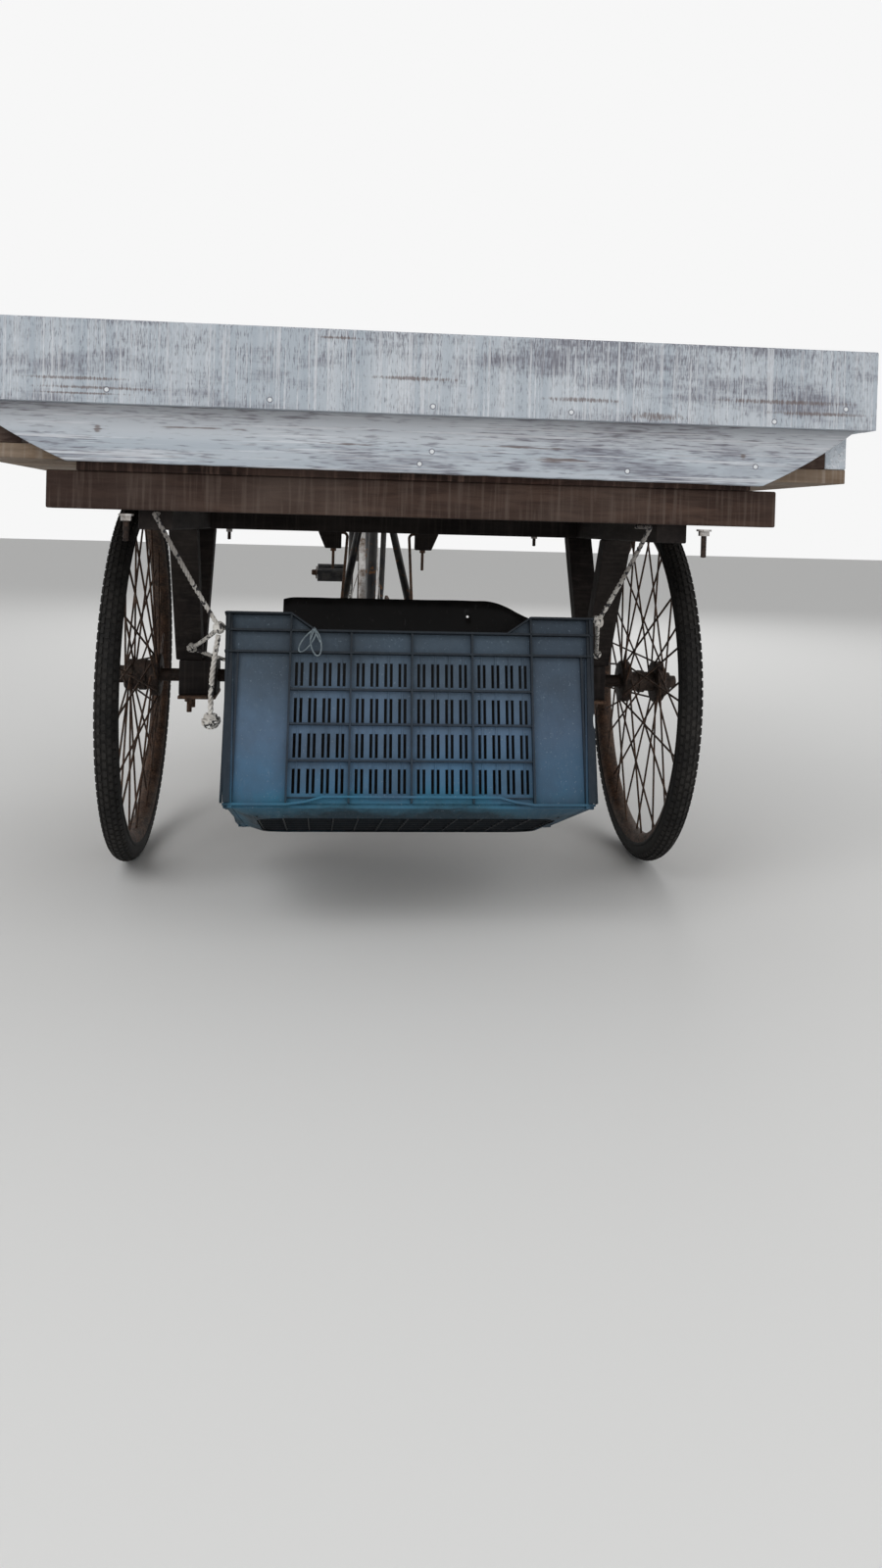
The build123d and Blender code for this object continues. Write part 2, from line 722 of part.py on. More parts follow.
def make_rim(label, x, y):
    with BuildPart() as rim:
        with BuildSketch(Plane.XY.offset(tyre_radius)):
            with BuildLine():
                Polyline(
                    (x - rim_outer_half, y + rim_outer_radius),
                    (x + rim_outer_half, y + rim_outer_radius),
                    (x + rim_outer_half, y + rim_outer_radius - 7),
                    (x + rim_inner_half, y + rim_inner_radius),
                    (x - rim_inner_half, y + rim_inner_radius),
                    (x - rim_outer_half, y + rim_outer_radius - 7),
                    close=True,
                )
            make_face()
        revolve(axis=Axis((x, y, tyre_radius), (1, 0, 0)))
    finish(rim, label)


from_base = (Align.CENTER, Align.CENTER, Align.MIN)


def make_spokes(label, x, y, flanges, flange_thick):
    with BuildPart() as spokes:
        per_kind = spoke_count // 4
        step = 360.0 / per_kind
        for offset, edge_radius in flanges:
            side = 1 if offset > 0 else -1
            for lead in (-1, 1):
                for index in range(per_kind):
                    hub_deg = index * step + (step / 2 if lead > 0 else 0) + (step / 4 if side > 0 else 0)
                    rim_deg = math.radians(hub_deg - lead * spoke_cross_deg)
                    hub_rad = math.radians(hub_deg)
                    start = (
                        x + offset + side * lead * 0.28 * flange_thick,
                        y + (edge_radius - 5) * math.cos(hub_rad),
                        tyre_radius + (edge_radius - 5) * math.sin(hub_rad),
                    )
                    end = (
                        x + side * (4 + lead * 1.35),
                        y + (rim_inner_radius + 4) * math.cos(rim_deg),
                        tyre_radius + (rim_inner_radius + 4) * math.sin(rim_deg),
                    )
                    run = Vector(*end) - Vector(*start)
                    with Locations(Plane(origin=start, x_dir=(1, 0, 0), z_dir=run).location):
                        Box(spoke_size, spoke_size, run.length, align=from_base)
        for offset, edge_radius in flanges:
            rod((x, y, tyre_radius), (x + 3 * offset, y, tyre_radius), edge_radius, Mode.SUBTRACT)
        with Locations(Plane(origin=(x - 60, y, tyre_radius), z_dir=(1, 0, 0)).location):
            Cylinder(rim_inner_radius, 120, align=from_base, mode=Mode.INTERSECT)
    finish(spokes, label)


def make_hub(label, x, y, flanges, flange_thick, barrel, end, half, bore):
    with BuildPart() as hub:
        rod((x - half, y, tyre_radius), (x + half, y, tyre_radius), end)
        rod((x + flanges[0][0], y, tyre_radius), (x + flanges[1][0], y, tyre_radius), barrel)
        for offset, radius in flanges:
            start = x + offset - flange_thick / 2
            rod((start, y, tyre_radius), (start + flange_thick, y, tyre_radius), radius)
        rod((x - half - 1, y, tyre_radius), (x + half + 1, y, tyre_radius), bore, Mode.SUBTRACT)
    finish(hub, label)


wheel_places = (
    # name, x, outer flange offset, outer flange radius, barrel radius, bore of the hub
    ("left", -track_half, drum_offset, drum_flange_radius, drum_barrel_radius, axle_radius + running_gap),
    ("right", track_half, hub_flange_offset, hub_flange_radius, hub_barrel_radius, axle_radius),
)
for name, x, outer_offset, outer_radius, barrel, bore in wheel_places:
    out = math.copysign(1, x)
    flanges = ((-out * hub_flange_offset, hub_flange_radius), (out * outer_offset, outer_radius))
    make_tyre(name + "_tyre", x, axle_y)
    make_rim(name + "_rim", x, axle_y)
    make_spokes(name + "_spokes", x, axle_y, flanges, hub_flange_thick)
    make_hub(name + "_hub", x, axle_y, flanges, hub_flange_thick, barrel, hub_end_radius, hub_half, bore)

axle_tip = track_half + hub_half + 26
with BuildPart() as rear_axle:
    rod((-axle_tip, axle_y, tyre_radius), (axle_tip, axle_y, tyre_radius), axle_radius)
    for side in (-1, 1):
        gap = 0.5 if side < 0 else 0.0
        start = side * (track_half + hub_half + gap)
        with BuildSketch(Plane(origin=(start, axle_y, tyre_radius), z_dir=(side, 0, 0))):
            RegularPolygon(19, 6)
            Circle(axle_radius, mode=Mode.SUBTRACT)
        extrude(amount=14)
finish(rear_axle, "rear_axle")

# Front wheel
front_flanges = ((-26.0, 20.0), (26.0, 20.0))
front_flange_thick = 5.0
make_tyre("front_tyre", 0, front_y)
make_rim("front_rim", 0, front_y)
make_spokes("front_spokes", 0, front_y, front_flanges, front_flange_thick)
front_bore = front_axle_radius + running_gap
make_hub("front_hub", 0, front_y, front_flanges, front_flange_thick, 12, 14, 44, front_bore)

# Fork
crown_distance = head_low - 27
with BuildPart() as fork:
    rod(up_head(crown_distance + 10), up_head(660), steerer_radius)
    with BuildSketch(Plane(origin=up_head(crown_distance), x_dir=(1, 0, 0), z_dir=head_run)):
        RectangleRounded(2 * (blade_x + 13), 34, 12)
    extrude(amount=25)
    for side in (-1, 1):
        x = side * blade_x
        blade_top = up_head(crown_distance + 5, x)
        bent_rod([blade_top, up_head(110, x), (x, front_y, tyre_radius)], 120, blade_radius)
        rod((side * 46, front_y, tyre_radius), (side * 70, front_y, tyre_radius), 13)
    rod((-76, front_y, tyre_radius), (76, front_y, tyre_radius), front_axle_radius)
finish(fork, "fork")

# Front mudguard on the fork
guard_radius = 374.0
guard_edge_radius = 366.0
guard_half = 33.0
guard_flat_half = 15.0
guard_thick = 2.0
with BuildPart() as front_mudguard:
    with BuildSketch(Plane(origin=(0, front_y, tyre_radius), x_dir=(1, 0, 0), z_dir=(0, 0.17365, -0.98481))):
        with BuildLine():
            Polyline(
                (-guard_half, guard_edge_radius),
                (-guard_half, guard_edge_radius + guard_thick),
                (-guard_flat_half, guard_radius + guard_thick),
                (guard_flat_half, guard_radius + guard_thick),
                (guard_half, guard_edge_radius + guard_thick),
                (guard_half, guard_edge_radius),
                (guard_flat_half, guard_radius),
                (-guard_flat_half, guard_radius),
                close=True,
            )
        make_face()
    revolve(axis=Axis((0, front_y, tyre_radius), (-1, 0, 0)), revolution_arc=165)
    rod(up_head(370.3), up_head(crown_distance), 8)
    for side in (-1, 1):
        for angle in (-6, 24):
            turn = math.radians(angle)
            far_y = front_y - 367 * math.cos(turn)
            far_z = tyre_radius + 367 * math.sin(turn)
            rod((side * 58, front_y, tyre_radius), (side * 32, far_y, far_z), 2.5)
    add(fork.part, mode=Mode.SUBTRACT)
finish(front_mudguard, "front_mudguard")

# Handlebar and grips
bar_base = Vector(*up_head(715))
bar_y = bar_base.Y + 52
bar_z = bar_base.Z + 14
bar_shape = (
    # out, ahead, up
    (288, -190, -22),
    (280, -20, 26),
    (205, 62, 42),
    (80, 0, 0),
)
right_half = [(x, bar_y + ahead, bar_z + up) for x, ahead, up in bar_shape]
with BuildPart() as handlebar:
    rod(up_head(660), up_head(722), 11)
    rod(up_head(715), (0, bar_y, bar_z), 11)
    rod((-26, bar_y, bar_z), (26, bar_y, bar_z), 16)
    bent_rod(right_half + mirrored(right_half)[::-1], 38, 11)
finish(handlebar, "handlebar")

with BuildPart() as grips:
    for side in (-1, 1):
        first = Vector(side * right_half[0][0], right_half[0][1], right_half[0][2])
        second = Vector(side * right_half[1][0], right_half[1][1], right_half[1][2])
        run = (second - first).normalized()
        far = first + run * 118
        rod((first.X, first.Y, first.Z), (far.X, far.Y, far.Z), 15.5)
        rod((first.X, first.Y, first.Z), (far.X, far.Y, far.Z), 11, Mode.SUBTRACT)
finish(grips, "grips")
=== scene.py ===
import bpy
import json
import math
import random
from mathutils import Matrix, Vector


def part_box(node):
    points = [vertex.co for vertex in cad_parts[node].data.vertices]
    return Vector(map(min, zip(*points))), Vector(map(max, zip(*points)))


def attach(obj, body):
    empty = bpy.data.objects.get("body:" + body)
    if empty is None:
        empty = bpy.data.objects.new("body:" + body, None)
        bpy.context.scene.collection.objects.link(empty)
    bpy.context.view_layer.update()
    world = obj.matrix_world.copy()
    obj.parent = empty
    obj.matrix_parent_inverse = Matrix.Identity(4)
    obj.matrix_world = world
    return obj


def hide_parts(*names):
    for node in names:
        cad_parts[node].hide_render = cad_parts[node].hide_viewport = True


# Cargo cycle rickshaw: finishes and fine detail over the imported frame. Metres, +Y forward, +Z up.
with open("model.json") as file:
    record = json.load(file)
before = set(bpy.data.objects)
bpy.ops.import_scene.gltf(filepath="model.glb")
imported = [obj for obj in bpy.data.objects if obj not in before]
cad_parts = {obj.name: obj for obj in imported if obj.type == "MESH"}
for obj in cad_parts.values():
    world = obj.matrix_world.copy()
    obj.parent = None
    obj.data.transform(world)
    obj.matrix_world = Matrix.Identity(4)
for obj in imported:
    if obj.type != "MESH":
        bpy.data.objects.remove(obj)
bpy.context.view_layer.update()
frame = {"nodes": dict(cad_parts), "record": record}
bodyOf = {node: body for body, nodes in frame["record"]["behaviour"]["bodies"].items() for node in nodes}
print("frame loaded:", len(frame["nodes"]), "nodes")


def nodeCenter(name):
    low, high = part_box(name)
    return (Vector(low) + Vector(high)) / 2


rearHub = nodeCenter("right_tyre")
frontHub = nodeCenter("front_tyre")
axleY = rearHub.y
tyreRadius = rearHub.z

# Camera: where the photograph was taken from, behind the tail and just below the deck
view = {
    "place": (-0.139, axleY - 2.316, 0.662),
    "yawDeg": 5.56,
    "pitchDeg": -0.92,
    "rollDeg": 1.55,
    "sensor": 36,
    "focalPerHeight": 1180 / 1600,  # of the photograph's height
    "shiftY": -244 / 1600,
    "clip": (0.05, 200),
}


def makeCamera():
    yaw, pitch, roll = (math.radians(view[key]) for key in ("yawDeg", "pitchDeg", "rollDeg"))
    level = Vector((math.sin(yaw), math.cos(yaw), 0))
    right = Vector((math.cos(yaw), -math.sin(yaw), 0))
    ahead = level * math.cos(pitch) + Vector((0, 0, math.sin(pitch)))
    up = -level * math.sin(pitch) + Vector((0, 0, math.cos(pitch)))
    tiltedRight = right * math.cos(roll) + up * math.sin(roll)
    tiltedUp = up * math.cos(roll) - right * math.sin(roll)
    data = bpy.data.cameras.new("view")
    data.sensor_fit = "VERTICAL"
    data.sensor_height = view["sensor"]
    data.lens = view["sensor"] * view["focalPerHeight"]
    data.shift_y = view["shiftY"]
    data.clip_start, data.clip_end = view["clip"]
    camera = bpy.data.objects.new("view", data)
    turn = Matrix((tiltedRight, tiltedUp, -ahead)).transposed()
    camera.matrix_world = Matrix.Translation(view["place"]) @ turn.to_4x4()
    bpy.context.scene.collection.objects.link(camera)
    bpy.context.scene.camera = camera


makeCamera()
print("camera made")

# Floor, backdrop and soft light
studio = {
    "floorColour": (0.80, 0.80, 0.79, 1),
    "floorRoughness": 0.9,
    "floorReach": 30,
    "backdrop": (0.93, 0.93, 0.93, 1),
    "skyStrength": 0.45,
    "lamps": (
        # name, place, size, watts
        ("key", (-2.6, -4.2, 3.6), 3.0, 85),
        ("fill", (3.6, -3.4, 2.2), 3.5, 38),
        ("back", (1.0, 4.6, 4.0), 3.5, 90),
        ("front_low", (0.6, -4.6, 0.9), 2.0, 16),
    ),
    "aim": (0, -0.6, 0.45),
}


def makeStudio():
    floor = bpy.data.meshes.new("floor")
    reach = studio["floorReach"]
    corners = [(x * reach, y * reach, 0) for x, y in ((-1, -1), (1, -1), (1, 1), (-1, 1))]
    floor.from_pydata(corners, [], [(0, 1, 2, 3)])
    plane = bpy.data.objects.new("floor", floor)
    bpy.context.scene.collection.objects.link(plane)
    paint = bpy.data.materials.new("studio_floor")
    paint.use_nodes = True
    shader = paint.node_tree.nodes["Principled BSDF"]
    shader.inputs["Base Color"].default_value = studio["floorColour"]
    shader.inputs["Roughness"].default_value = studio["floorRoughness"]
    floor.materials.append(paint)
    for name, place, size, watts in studio["lamps"]:
        light = bpy.data.lights.new(name, "AREA")
        light.size = size
        light.energy = watts
        lamp = bpy.data.objects.new(name, light)
        lamp.location = place
        lamp.rotation_euler = (Vector(studio["aim"]) - Vector(place)).to_track_quat("-Z", "Y").to_euler()
        bpy.context.scene.collection.objects.link(lamp)
    world = bpy.data.worlds.new("studio")
    world.use_nodes = True
    links = world.node_tree.links
    nodes = world.node_tree.nodes
    ambient = nodes["Background"]
    ambient.inputs["Color"].default_value = (1, 1, 1, 1)
    ambient.inputs["Strength"].default_value = studio["skyStrength"]
    backdrop = nodes.new("ShaderNodeBackground")
    backdrop.inputs["Color"].default_value = studio["backdrop"]
    backdrop.inputs["Strength"].default_value = 1
    ray = nodes.new("ShaderNodeLightPath")
    seen = nodes.new("ShaderNodeMath")
    seen.operation = "MAXIMUM"
    links.new(ray.outputs["Is Camera Ray"], seen.inputs[0])
    links.new(ray.outputs["Is Glossy Ray"], seen.inputs[1])
    pick = nodes.new("ShaderNodeMixShader")
    links.new(seen.outputs[0], pick.inputs["Fac"])
    links.new(ambient.outputs[0], pick.inputs[1])
    links.new(backdrop.outputs[0], pick.inputs[2])
    links.new(pick.outputs[0], nodes["World Output"].inputs["Surface"])
    bpy.context.scene.world = world
    bpy.context.scene.view_settings.view_transform = "Standard"


makeStudio()
print("floor and light made")


# Node helpers for the finishes
class Finish:
    def __init__(self, name, roughness=0.6, metallic=0.0, specular=0.22):
        self.material = bpy.data.materials.new(name)
        self.material.use_nodes = True
        self.tree = self.material.node_tree
        self.shader = self.tree.nodes["Principled BSDF"]
        self.shader.inputs["Roughness"].default_value = roughness
        self.shader.inputs["Metallic"].default_value = metallic
        self.shader.inputs["Specular IOR Level"].default_value = specular
        self.place = self.tree.nodes.new("ShaderNodeTexCoord").outputs["Object"]

    def link(self, source, socket):
        if isinstance(source, (int, float)):
            socket.default_value = source
        elif isinstance(source, tuple):
            socket.default_value = source if len(source) == 4 else (*source, 1)
        else:
            self.tree.links.new(source, socket)

    def node(self, kind, **inputs):
        made = self.tree.nodes.new("ShaderNode" + kind)
        for name, value in inputs.items():
            self.link(value, made.inputs[name])
        return made

    def noise(self, scale, stretch=(1, 1, 1), detail=3.0, roughness=0.55, shift=0.0, distortion=0.0):
        # a stretch under 1 draws the pattern out along that axis; shift moves it, so no two look alike
        spread = self.tree.nodes.new("ShaderNodeMapping")
        spread.inputs["Scale"].default_value = stretch
        spread.inputs["Location"].default_value = (shift, shift * 0.7, shift * 1.3)
        self.tree.links.new(self.place, spread.inputs["Vector"])
        made = self.node("TexNoise", Vector=spread.outputs[0], Scale=scale, Detail=detail)
        made.inputs["Roughness"].default_value = roughness
        made.inputs["Distortion"].default_value = distortion
        return made.outputs["Fac"]

    def curve(self, value, *stops):
        made = self.node("ValToRGB", Fac=value)
        ramp = made.color_ramp
        while len(ramp.elements) < len(stops):
            ramp.elements.new(0.5)
        for element, (at, colour) in zip(ramp.elements, stops):
            element.position = at
            element.color = (colour, colour, colour, 1) if isinstance(colour, (int, float)) else (*colour, 1)
        return made.outputs["Color"]

    def mix(self, share, first, second):
        made = self.tree.nodes.new("ShaderNodeMix")
        made.data_type = "RGBA"
        self.link(share, made.inputs["Factor"])
        self.link(first, made.inputs["A"])
        self.link(second, made.inputs["B"])
        return made.outputs["Result"]

    def math(self, kind, first, second=0.0):
        made = self.tree.nodes.new("ShaderNodeMath")
        made.operation = kind
        self.link(first, made.inputs[0])
        self.link(second, made.inputs[1])
        return made.outputs[0]

    def axis(self, letter):
        split = self.node("SeparateXYZ", Vector=self.place)
        return split.outputs[letter]

    def along(self, origin, direction):
        # how far a point lies from origin along a direction
        moved = self.tree.nodes.new("ShaderNodeVectorMath")
        moved.operation = "SUBTRACT"
        self.tree.links.new(self.place, moved.inputs[0])
        moved.inputs[1].default_value = origin
        dot = self.tree.nodes.new("ShaderNodeVectorMath")
        dot.operation = "DOT_PRODUCT"
        self.tree.links.new(moved.outputs[0], dot.inputs[0])
        dot.inputs[1].default_value = direction
        return dot.outputs["Value"]

    def spot(self, x, z, halfX, halfZ):
        # 1 in the middle of an oval on an upright face, 0 at its edge and negative outside
        across = self.math("MULTIPLY", self.along((x, 0, z), (1, 0, 0)), 1 / halfX)
        up = self.math("MULTIPLY", self.along((x, 0, z), (0, 0, 1)), 1 / halfZ)
        squares = self.math("ADD", self.math("MULTIPLY", across, across), self.math("MULTIPLY", up, up))
        return self.math("SUBTRACT", 1.0, squares)

    def between(self, value, low, high, first=0.0, second=1.0):
        made = self.tree.nodes.new("ShaderNodeMapRange")
        made.inputs["From Min"].default_value = low
        made.inputs["From Max"].default_value = high
        made.inputs["To Min"].default_value = first
        made.inputs["To Max"].default_value = second
        self.link(value, made.inputs["Value"])
        return made.outputs["Result"]

    def bump(self, height, distance, strength=1.0):
        return self.node("Bump", Height=height, Distance=distance, Strength=strength).outputs["Normal"]

    def done(self, colour, roughness=None, normal=None):
        self.link(colour, self.shader.inputs["Base Color"])
        if roughness is not None:
            self.link(roughness, self.shader.inputs["Roughness"])
        if normal is not None:
            self.link(normal, self.shader.inputs["Normal"])
        return self.material


# Crate: how it hangs, tipped up at its near edge, and its main sizes
crateShape = {
    "tipDeg": 19,
    "nearEdge": (0, -0.440, 0.517),  # of the rim, y from the axle
    "length": 0.600,
    "width": 0.400,
    "height": 0.320,
    "taper": 0.010,
    "wall": 0.0035,
    "ribReach": 0.010,
    "ribThick": 0.0032,
    "ribHeights": (0.3185, 0.291, 0.256),
    "cellHeights": (0.197, 0.142, 0.085),
    "slotRows": ((0.203, 0.241), (0.145, 0.184), (0.090, 0.128), (0.035, 0.073)),
    "cellWidth": 0.098,
    "slotWidth": 0.0046,
    "slotGap": 0.0042,
    "pairPitch": 0.0225,
    "pairFirst": 0.0090,
    "lineHalf": 0.0008,  # the raised line between two slots
    "lineOut": 0.0016,
    "dip": 0.0275,
    "dipRun": 0.040,
    "baseHigh": 0.020,
    "sink": 0.001,  # how far ribs start inside the wall
    "rimOut": 0.0015,
    "cellReach": 0.8,  # shares of the ribs' reach
    "postReach": 0.9,
    "panelReach": 0.55,
    "cornerPost": 0.006,  # in from the corner's outside
    "panelPost": 0.012,  # in from the wall's end
    "cornerCut": 0.010,
    "sides": {
        # half length, cells, half length of the dip
        "near": (0.290, 4, 0.155),
        "far": (0.290, 4, 0.155),
        "right": (0.190, 2, 0.075),
        "left": (0.190, 2, 0.075),
    },
    "lowBar": (0.0275, 0.0295, 0.003),  # from, to, how far out
}
crateTurn = Matrix.Rotation(-math.radians(crateShape["tipDeg"]), 4, "X")
crateUp = crateTurn.to_3x3() @ Vector((0, 0, 1))
crateEdge = Vector((0, axleY, 0)) + Vector(crateShape["nearEdge"])
crateMiddle = Matrix.Translation((0, crateShape["width"] / 2, -crateShape["height"]))
cratePlace = Matrix.Translation(crateEdge) @ crateTurn @ crateMiddle

# Painted boards: blue-grey paint over sawn wood, ruled by the saw and rubbed through in places
boardPaint = {
    "pale": (0.375, 0.420, 0.468),
    "chalk": (0.480, 0.515, 0.555),
    "deep": (0.150, 0.150, 0.178),
    "smudge": (0.215, 0.222, 0.262),
    "line": (0.62, 0.645, 0.68),
    # brown is the tone of the stains, and of the painted shadow under the upper board
    "brown": (0.150, 0.118, 0.112),
    "nail": (0.66, 0.68, 0.70),
    "nailMark": 0.0051,
    "shadeShare": 0.42,
    "marks": {
        # way of the saw marks: scale of lines, scale of dashes, how far each is drawn out
        "upright": (400, 520, 0.012, 0.17),
        "level": (210, 330, 0.016, 0.10),
    },
}
boardMarks = {
    # streaks are x, z, half width, half height; nails are x, z; worn is where more paint gives way, from one
    # height to another, and by how much; shade is the heights between which a painted shadow of the upper
    # board browns it
    "upper_board": {
        "streaks": (
            (-0.505, 0.8600, 0.085, 0.0030),
            (-0.470, 0.8470, 0.100, 0.0026),
            (-0.500, 0.8385, 0.075, 0.0020),
            (-0.020, 0.8780, 0.075, 0.0035),
            (0.230, 0.8560, 0.060, 0.0040),
            (0.345, 0.8350, 0.046, 0.0070),
            (0.540, 0.8640, 0.120, 0.0040),
            (0.600, 0.8480, 0.090, 0.0035),
            (-0.130, 0.9330, 0.036, 0.0024),
        ),
        "nails": (
            (-0.461, 0.845),
            (-0.229, 0.839),
            (0.009, 0.838),
            (0.216, 0.837),
            (0.529, 0.834),
            (0.641, 0.857),
        ),
        "worn": (0.860, 0.945, 0.045),
    },
    "lower_board": {
        "streaks": (
            (-0.476, 0.7900, 0.0055, 0.0065),
            (0.489, 0.7810, 0.0050, 0.0050),
            (-0.120, 0.7800, 0.045, 0.0018),
            (0.140, 0.7835, 0.090, 0.0016),
            (0.200, 0.7660, 0.050, 0.0040),
            (-0.330, 0.7960, 0.080, 0.0016),
        ),
        "nails": ((0.011, 0.773), (0.509, 0.766), (0.309, 0.753), (-0.007, 0.754)),
        "worn": (0.775, 0.825, 0.02),
        "shade": (0.780, 0.832),
    },
}


def drawnOut(grain, share):
    # a stretch for noise, drawn out along the grain's letter
    return tuple(share if letter == grain else 1 for letter in "XYZ")


def paintedBoard(name, grain, shift):
    look = boardPaint
    marks = boardMarks.get(name, {})
    made = Finish(name, roughness=0.80)
    lineScale, dashScale, lineLong, dashLong = look["marks"]["upright" if grain == "Z" else "level"]
    lines = made.noise(lineScale, drawnOut(grain, lineLong), detail=2, roughness=0.6, shift=shift)
    dashes = made.noise(dashScale, drawnOut(grain, dashLong), detail=2, roughness=0.6, shift=shift + 3)
    broad = made.noise(30, drawnOut(grain, lineLong), detail=3, roughness=0.6, shift=shift + 5)
    cloud = made.noise(9, (0.42, 1, 1.9), detail=5, roughness=0.66, shift=shift + 11)
    tone = made.mix(made.curve(broad, (0.38, 0.0), (0.62, 1.0)), look["pale"], look["chalk"])
    tone = made.mix(made.curve(cloud, (0.50, 0.0), (0.68, 0.80)), tone, look["smudge"])
    dark = made.math("ADD", made.math("MULTIPLY", lines, 0.50), made.math("MULTIPLY", dashes, 0.50))
    dark = made.math("ADD", dark, made.math("MULTIPLY", made.math("SUBTRACT", cloud, 0.5), 0.45))
    if "worn" in marks:
        low, high, more = marks["worn"]
        dark = made.math("ADD", dark, made.between(made.axis("Z"), low, high, 0.0, more))
    tone = made.mix(made.curve(dark, (0.50, 0.0), (0.62, 0.92)), tone, look["deep"])
    tone = made.mix(made.curve(lines, (0.55, 0.0), (0.63, 0.72)), tone, look["line"])
    # painted shadow of the upper board over the top of the lower board
    if "shade" in marks:
        shaded = made.between(made.axis("Z"), *marks["shade"], 0.0, look["shadeShare"])
        tone = made.mix(shaded, tone, look["brown"])
    if "streaks" in marks:
        rag = made.math("MULTIPLY", made.math("SUBTRACT", dashes, 0.5), 3.4)
        patches = [made.math("ADD", made.spot(*streak), rag) for streak in marks["streaks"]]
        share = patches[0]
        for patch in patches[1:]:
            share = made.math("MAXIMUM", share, patch)
        tone = made.mix(made.curve(share, (0.10, 0.0), (0.95, 0.80)), tone, look["brown"])
    for x, z in marks.get("nails", ()):
        head = made.spot(x, z, look["nailMark"], look["nailMark"])
        tone = made.mix(made.curve(head, (0.02, 0.0), (0.30, 0.75)), tone, look["deep"])
        tone = made.mix(made.curve(head, (0.62, 0.0), (0.70, 1.0)), tone, look["nail"])
    height = made.math("ADD", made.math("MULTIPLY", lines, 0.6), made.math("MULTIPLY", dashes, 0.3))
    return made.done(tone, made.between(dark, 0.4, 0.65, 0.74, 0.86), made.bump(height, 0.0012, 0.6))


# Bare hardwood: brown with saw marks across the board and darker grain along it
woodLook = {
    # name: light tone, dark tone, dust tone
    "old_wood": ((0.066, 0.038, 0.027), (0.024, 0.013, 0.010), (0.110, 0.082, 0.068)),
    "batten_wood": ((0.034, 0.014, 0.009), (0.006, 0.003, 0.002), (0.085, 0.052, 0.040)),
    # dark wood with painted shade: its own dark tone, darkened further because it lies under the deck
    "dark_wood": ((0.022, 0.016, 0.014), (0.008, 0.006, 0.006), (0.046, 0.038, 0.033)),
    "deck_wood": ((0.30, 0.225, 0.16), (0.115, 0.078, 0.052), (0.36, 0.32, 0.28)),
}
sawStretch = {"X": (1, 0.2, 0.05), "Y": (0.05, 1, 0.2), "Z": (0.2, 1, 1)}  # by the way of the grain


def bareWood(name, grain="X", sawn=0.5):
    # sawn is how strongly the saw marks show
    light, dark, dust = woodLook[name]
    made = Finish(name + "_" + grain.lower(), roughness=0.82)
    along = drawnOut(grain, 0.10)
    fibre = made.noise(70, along, detail=6, roughness=0.68, distortion=0.7)
    ring = made.noise(9, along, detail=4, roughness=0.6, shift=5, distortion=1.4)
    saw = made.noise(150, sawStretch[grain], detail=2, roughness=0.5, shift=9)
    grime = made.noise(5, detail=4, shift=2)
    tone = made.mix(made.curve(ring, (0.33, 0.0), (0.66, 1.0)), dark, light)
    tone = made.mix(made.curve(fibre, (0.42, 0.7), (0.60, 0.0)), tone, dark)
    tone = made.mix(made.curve(saw, (0.50, 0.0), (0.72, sawn)), tone, dust)
    tone = made.mix(made.curve(grime, (0.42, 0.0), (0.75, 0.55)), tone, dust)
    height = made.math("ADD", fibre, made.math("MULTIPLY", saw, sawn))
    return made.done(tone, made.between(fibre, 0.3, 0.7, 0.9, 0.7), made.bump(height, 0.0014, 0.6))


# Metals and paint
metalLook = {
    # name: dark tone, light tone, share of rust, share of dust
    "rusty_steel": ((0.040, 0.026, 0.020), (0.120, 0.062, 0.036), 0.55, 0.40),
    "dark_rust": ((0.022, 0.015, 0.012), (0.072, 0.040, 0.026), 0.35, 0.22),
    "dark_hub": ((0.014, 0.011, 0.010), (0.040, 0.028, 0.023), 0.15, 0.15),
    "rust": (0.17, 0.09, 0.052),
    "dust": (0.22, 0.18, 0.15),
    # name: clean tone, then the tones of its stains, grease or chips
    "dull_steel": ((0.42, 0.41, 0.40), (0.13, 0.085, 0.055), (0.10, 0.06, 0.04)),
    "greasy_steel": ((0.020, 0.017, 0.015), (0.095, 0.070, 0.052), (0.20, 0.16, 0.13)),
    "old_chrome": ((0.66, 0.65, 0.63), (0.14, 0.075, 0.04), (0.19, 0.11, 0.07)),
    "black_paint": ((0.016, 0.017, 0.020), (0.16, 0.145, 0.125), (0.16, 0.075, 0.035)),
}


def rustySteel(name):
    dark, light, rusty, dusty = metalLook[name]
    made = Finish(name, roughness=0.7, metallic=0.25)
    coarse = made.noise(40, detail=6, roughness=0.65)
    fine = made.noise(260, detail=3, shift=4)
    tone = made.mix(made.curve(coarse, (0.40, 0.0), (0.62, 1.0)), dark, light)
    tone = made.mix(made.curve(fine, (0.45, 0.0), (0.68, rusty)), tone, metalLook["rust"])
    dust = made.noise(14, detail=4, shift=8)
    tone = made.mix(made.curve(dust, (0.48, 0.0), (0.78, dusty)), tone, metalLook["dust"])
    return made.done(tone, made.between(fine, 0.3, 0.7, 0.85, 0.55), made.bump(fine, 0.0005, 0.5))


def dullSteel(name="dull_steel"):
    clean, stained, specked = metalLook[name]
    made = Finish(name, roughness=0.42, metallic=0.9)
    stain = made.noise(22, detail=6, roughness=0.65)
    speck = made.noise(300, detail=2, shift=6)
    tone = made.mix(made.curve(stain, (0.46, 0.0), (0.66, 0.9)), clean, stained)
    tone = made.mix(made.curve(speck, (0.60, 0.0), (0.70, 0.8)), tone, specked)
    return made.done(tone, made.between(stain, 0.4, 0.7, 0.32, 0.7), made.bump(speck, 0.0003, 0.3))


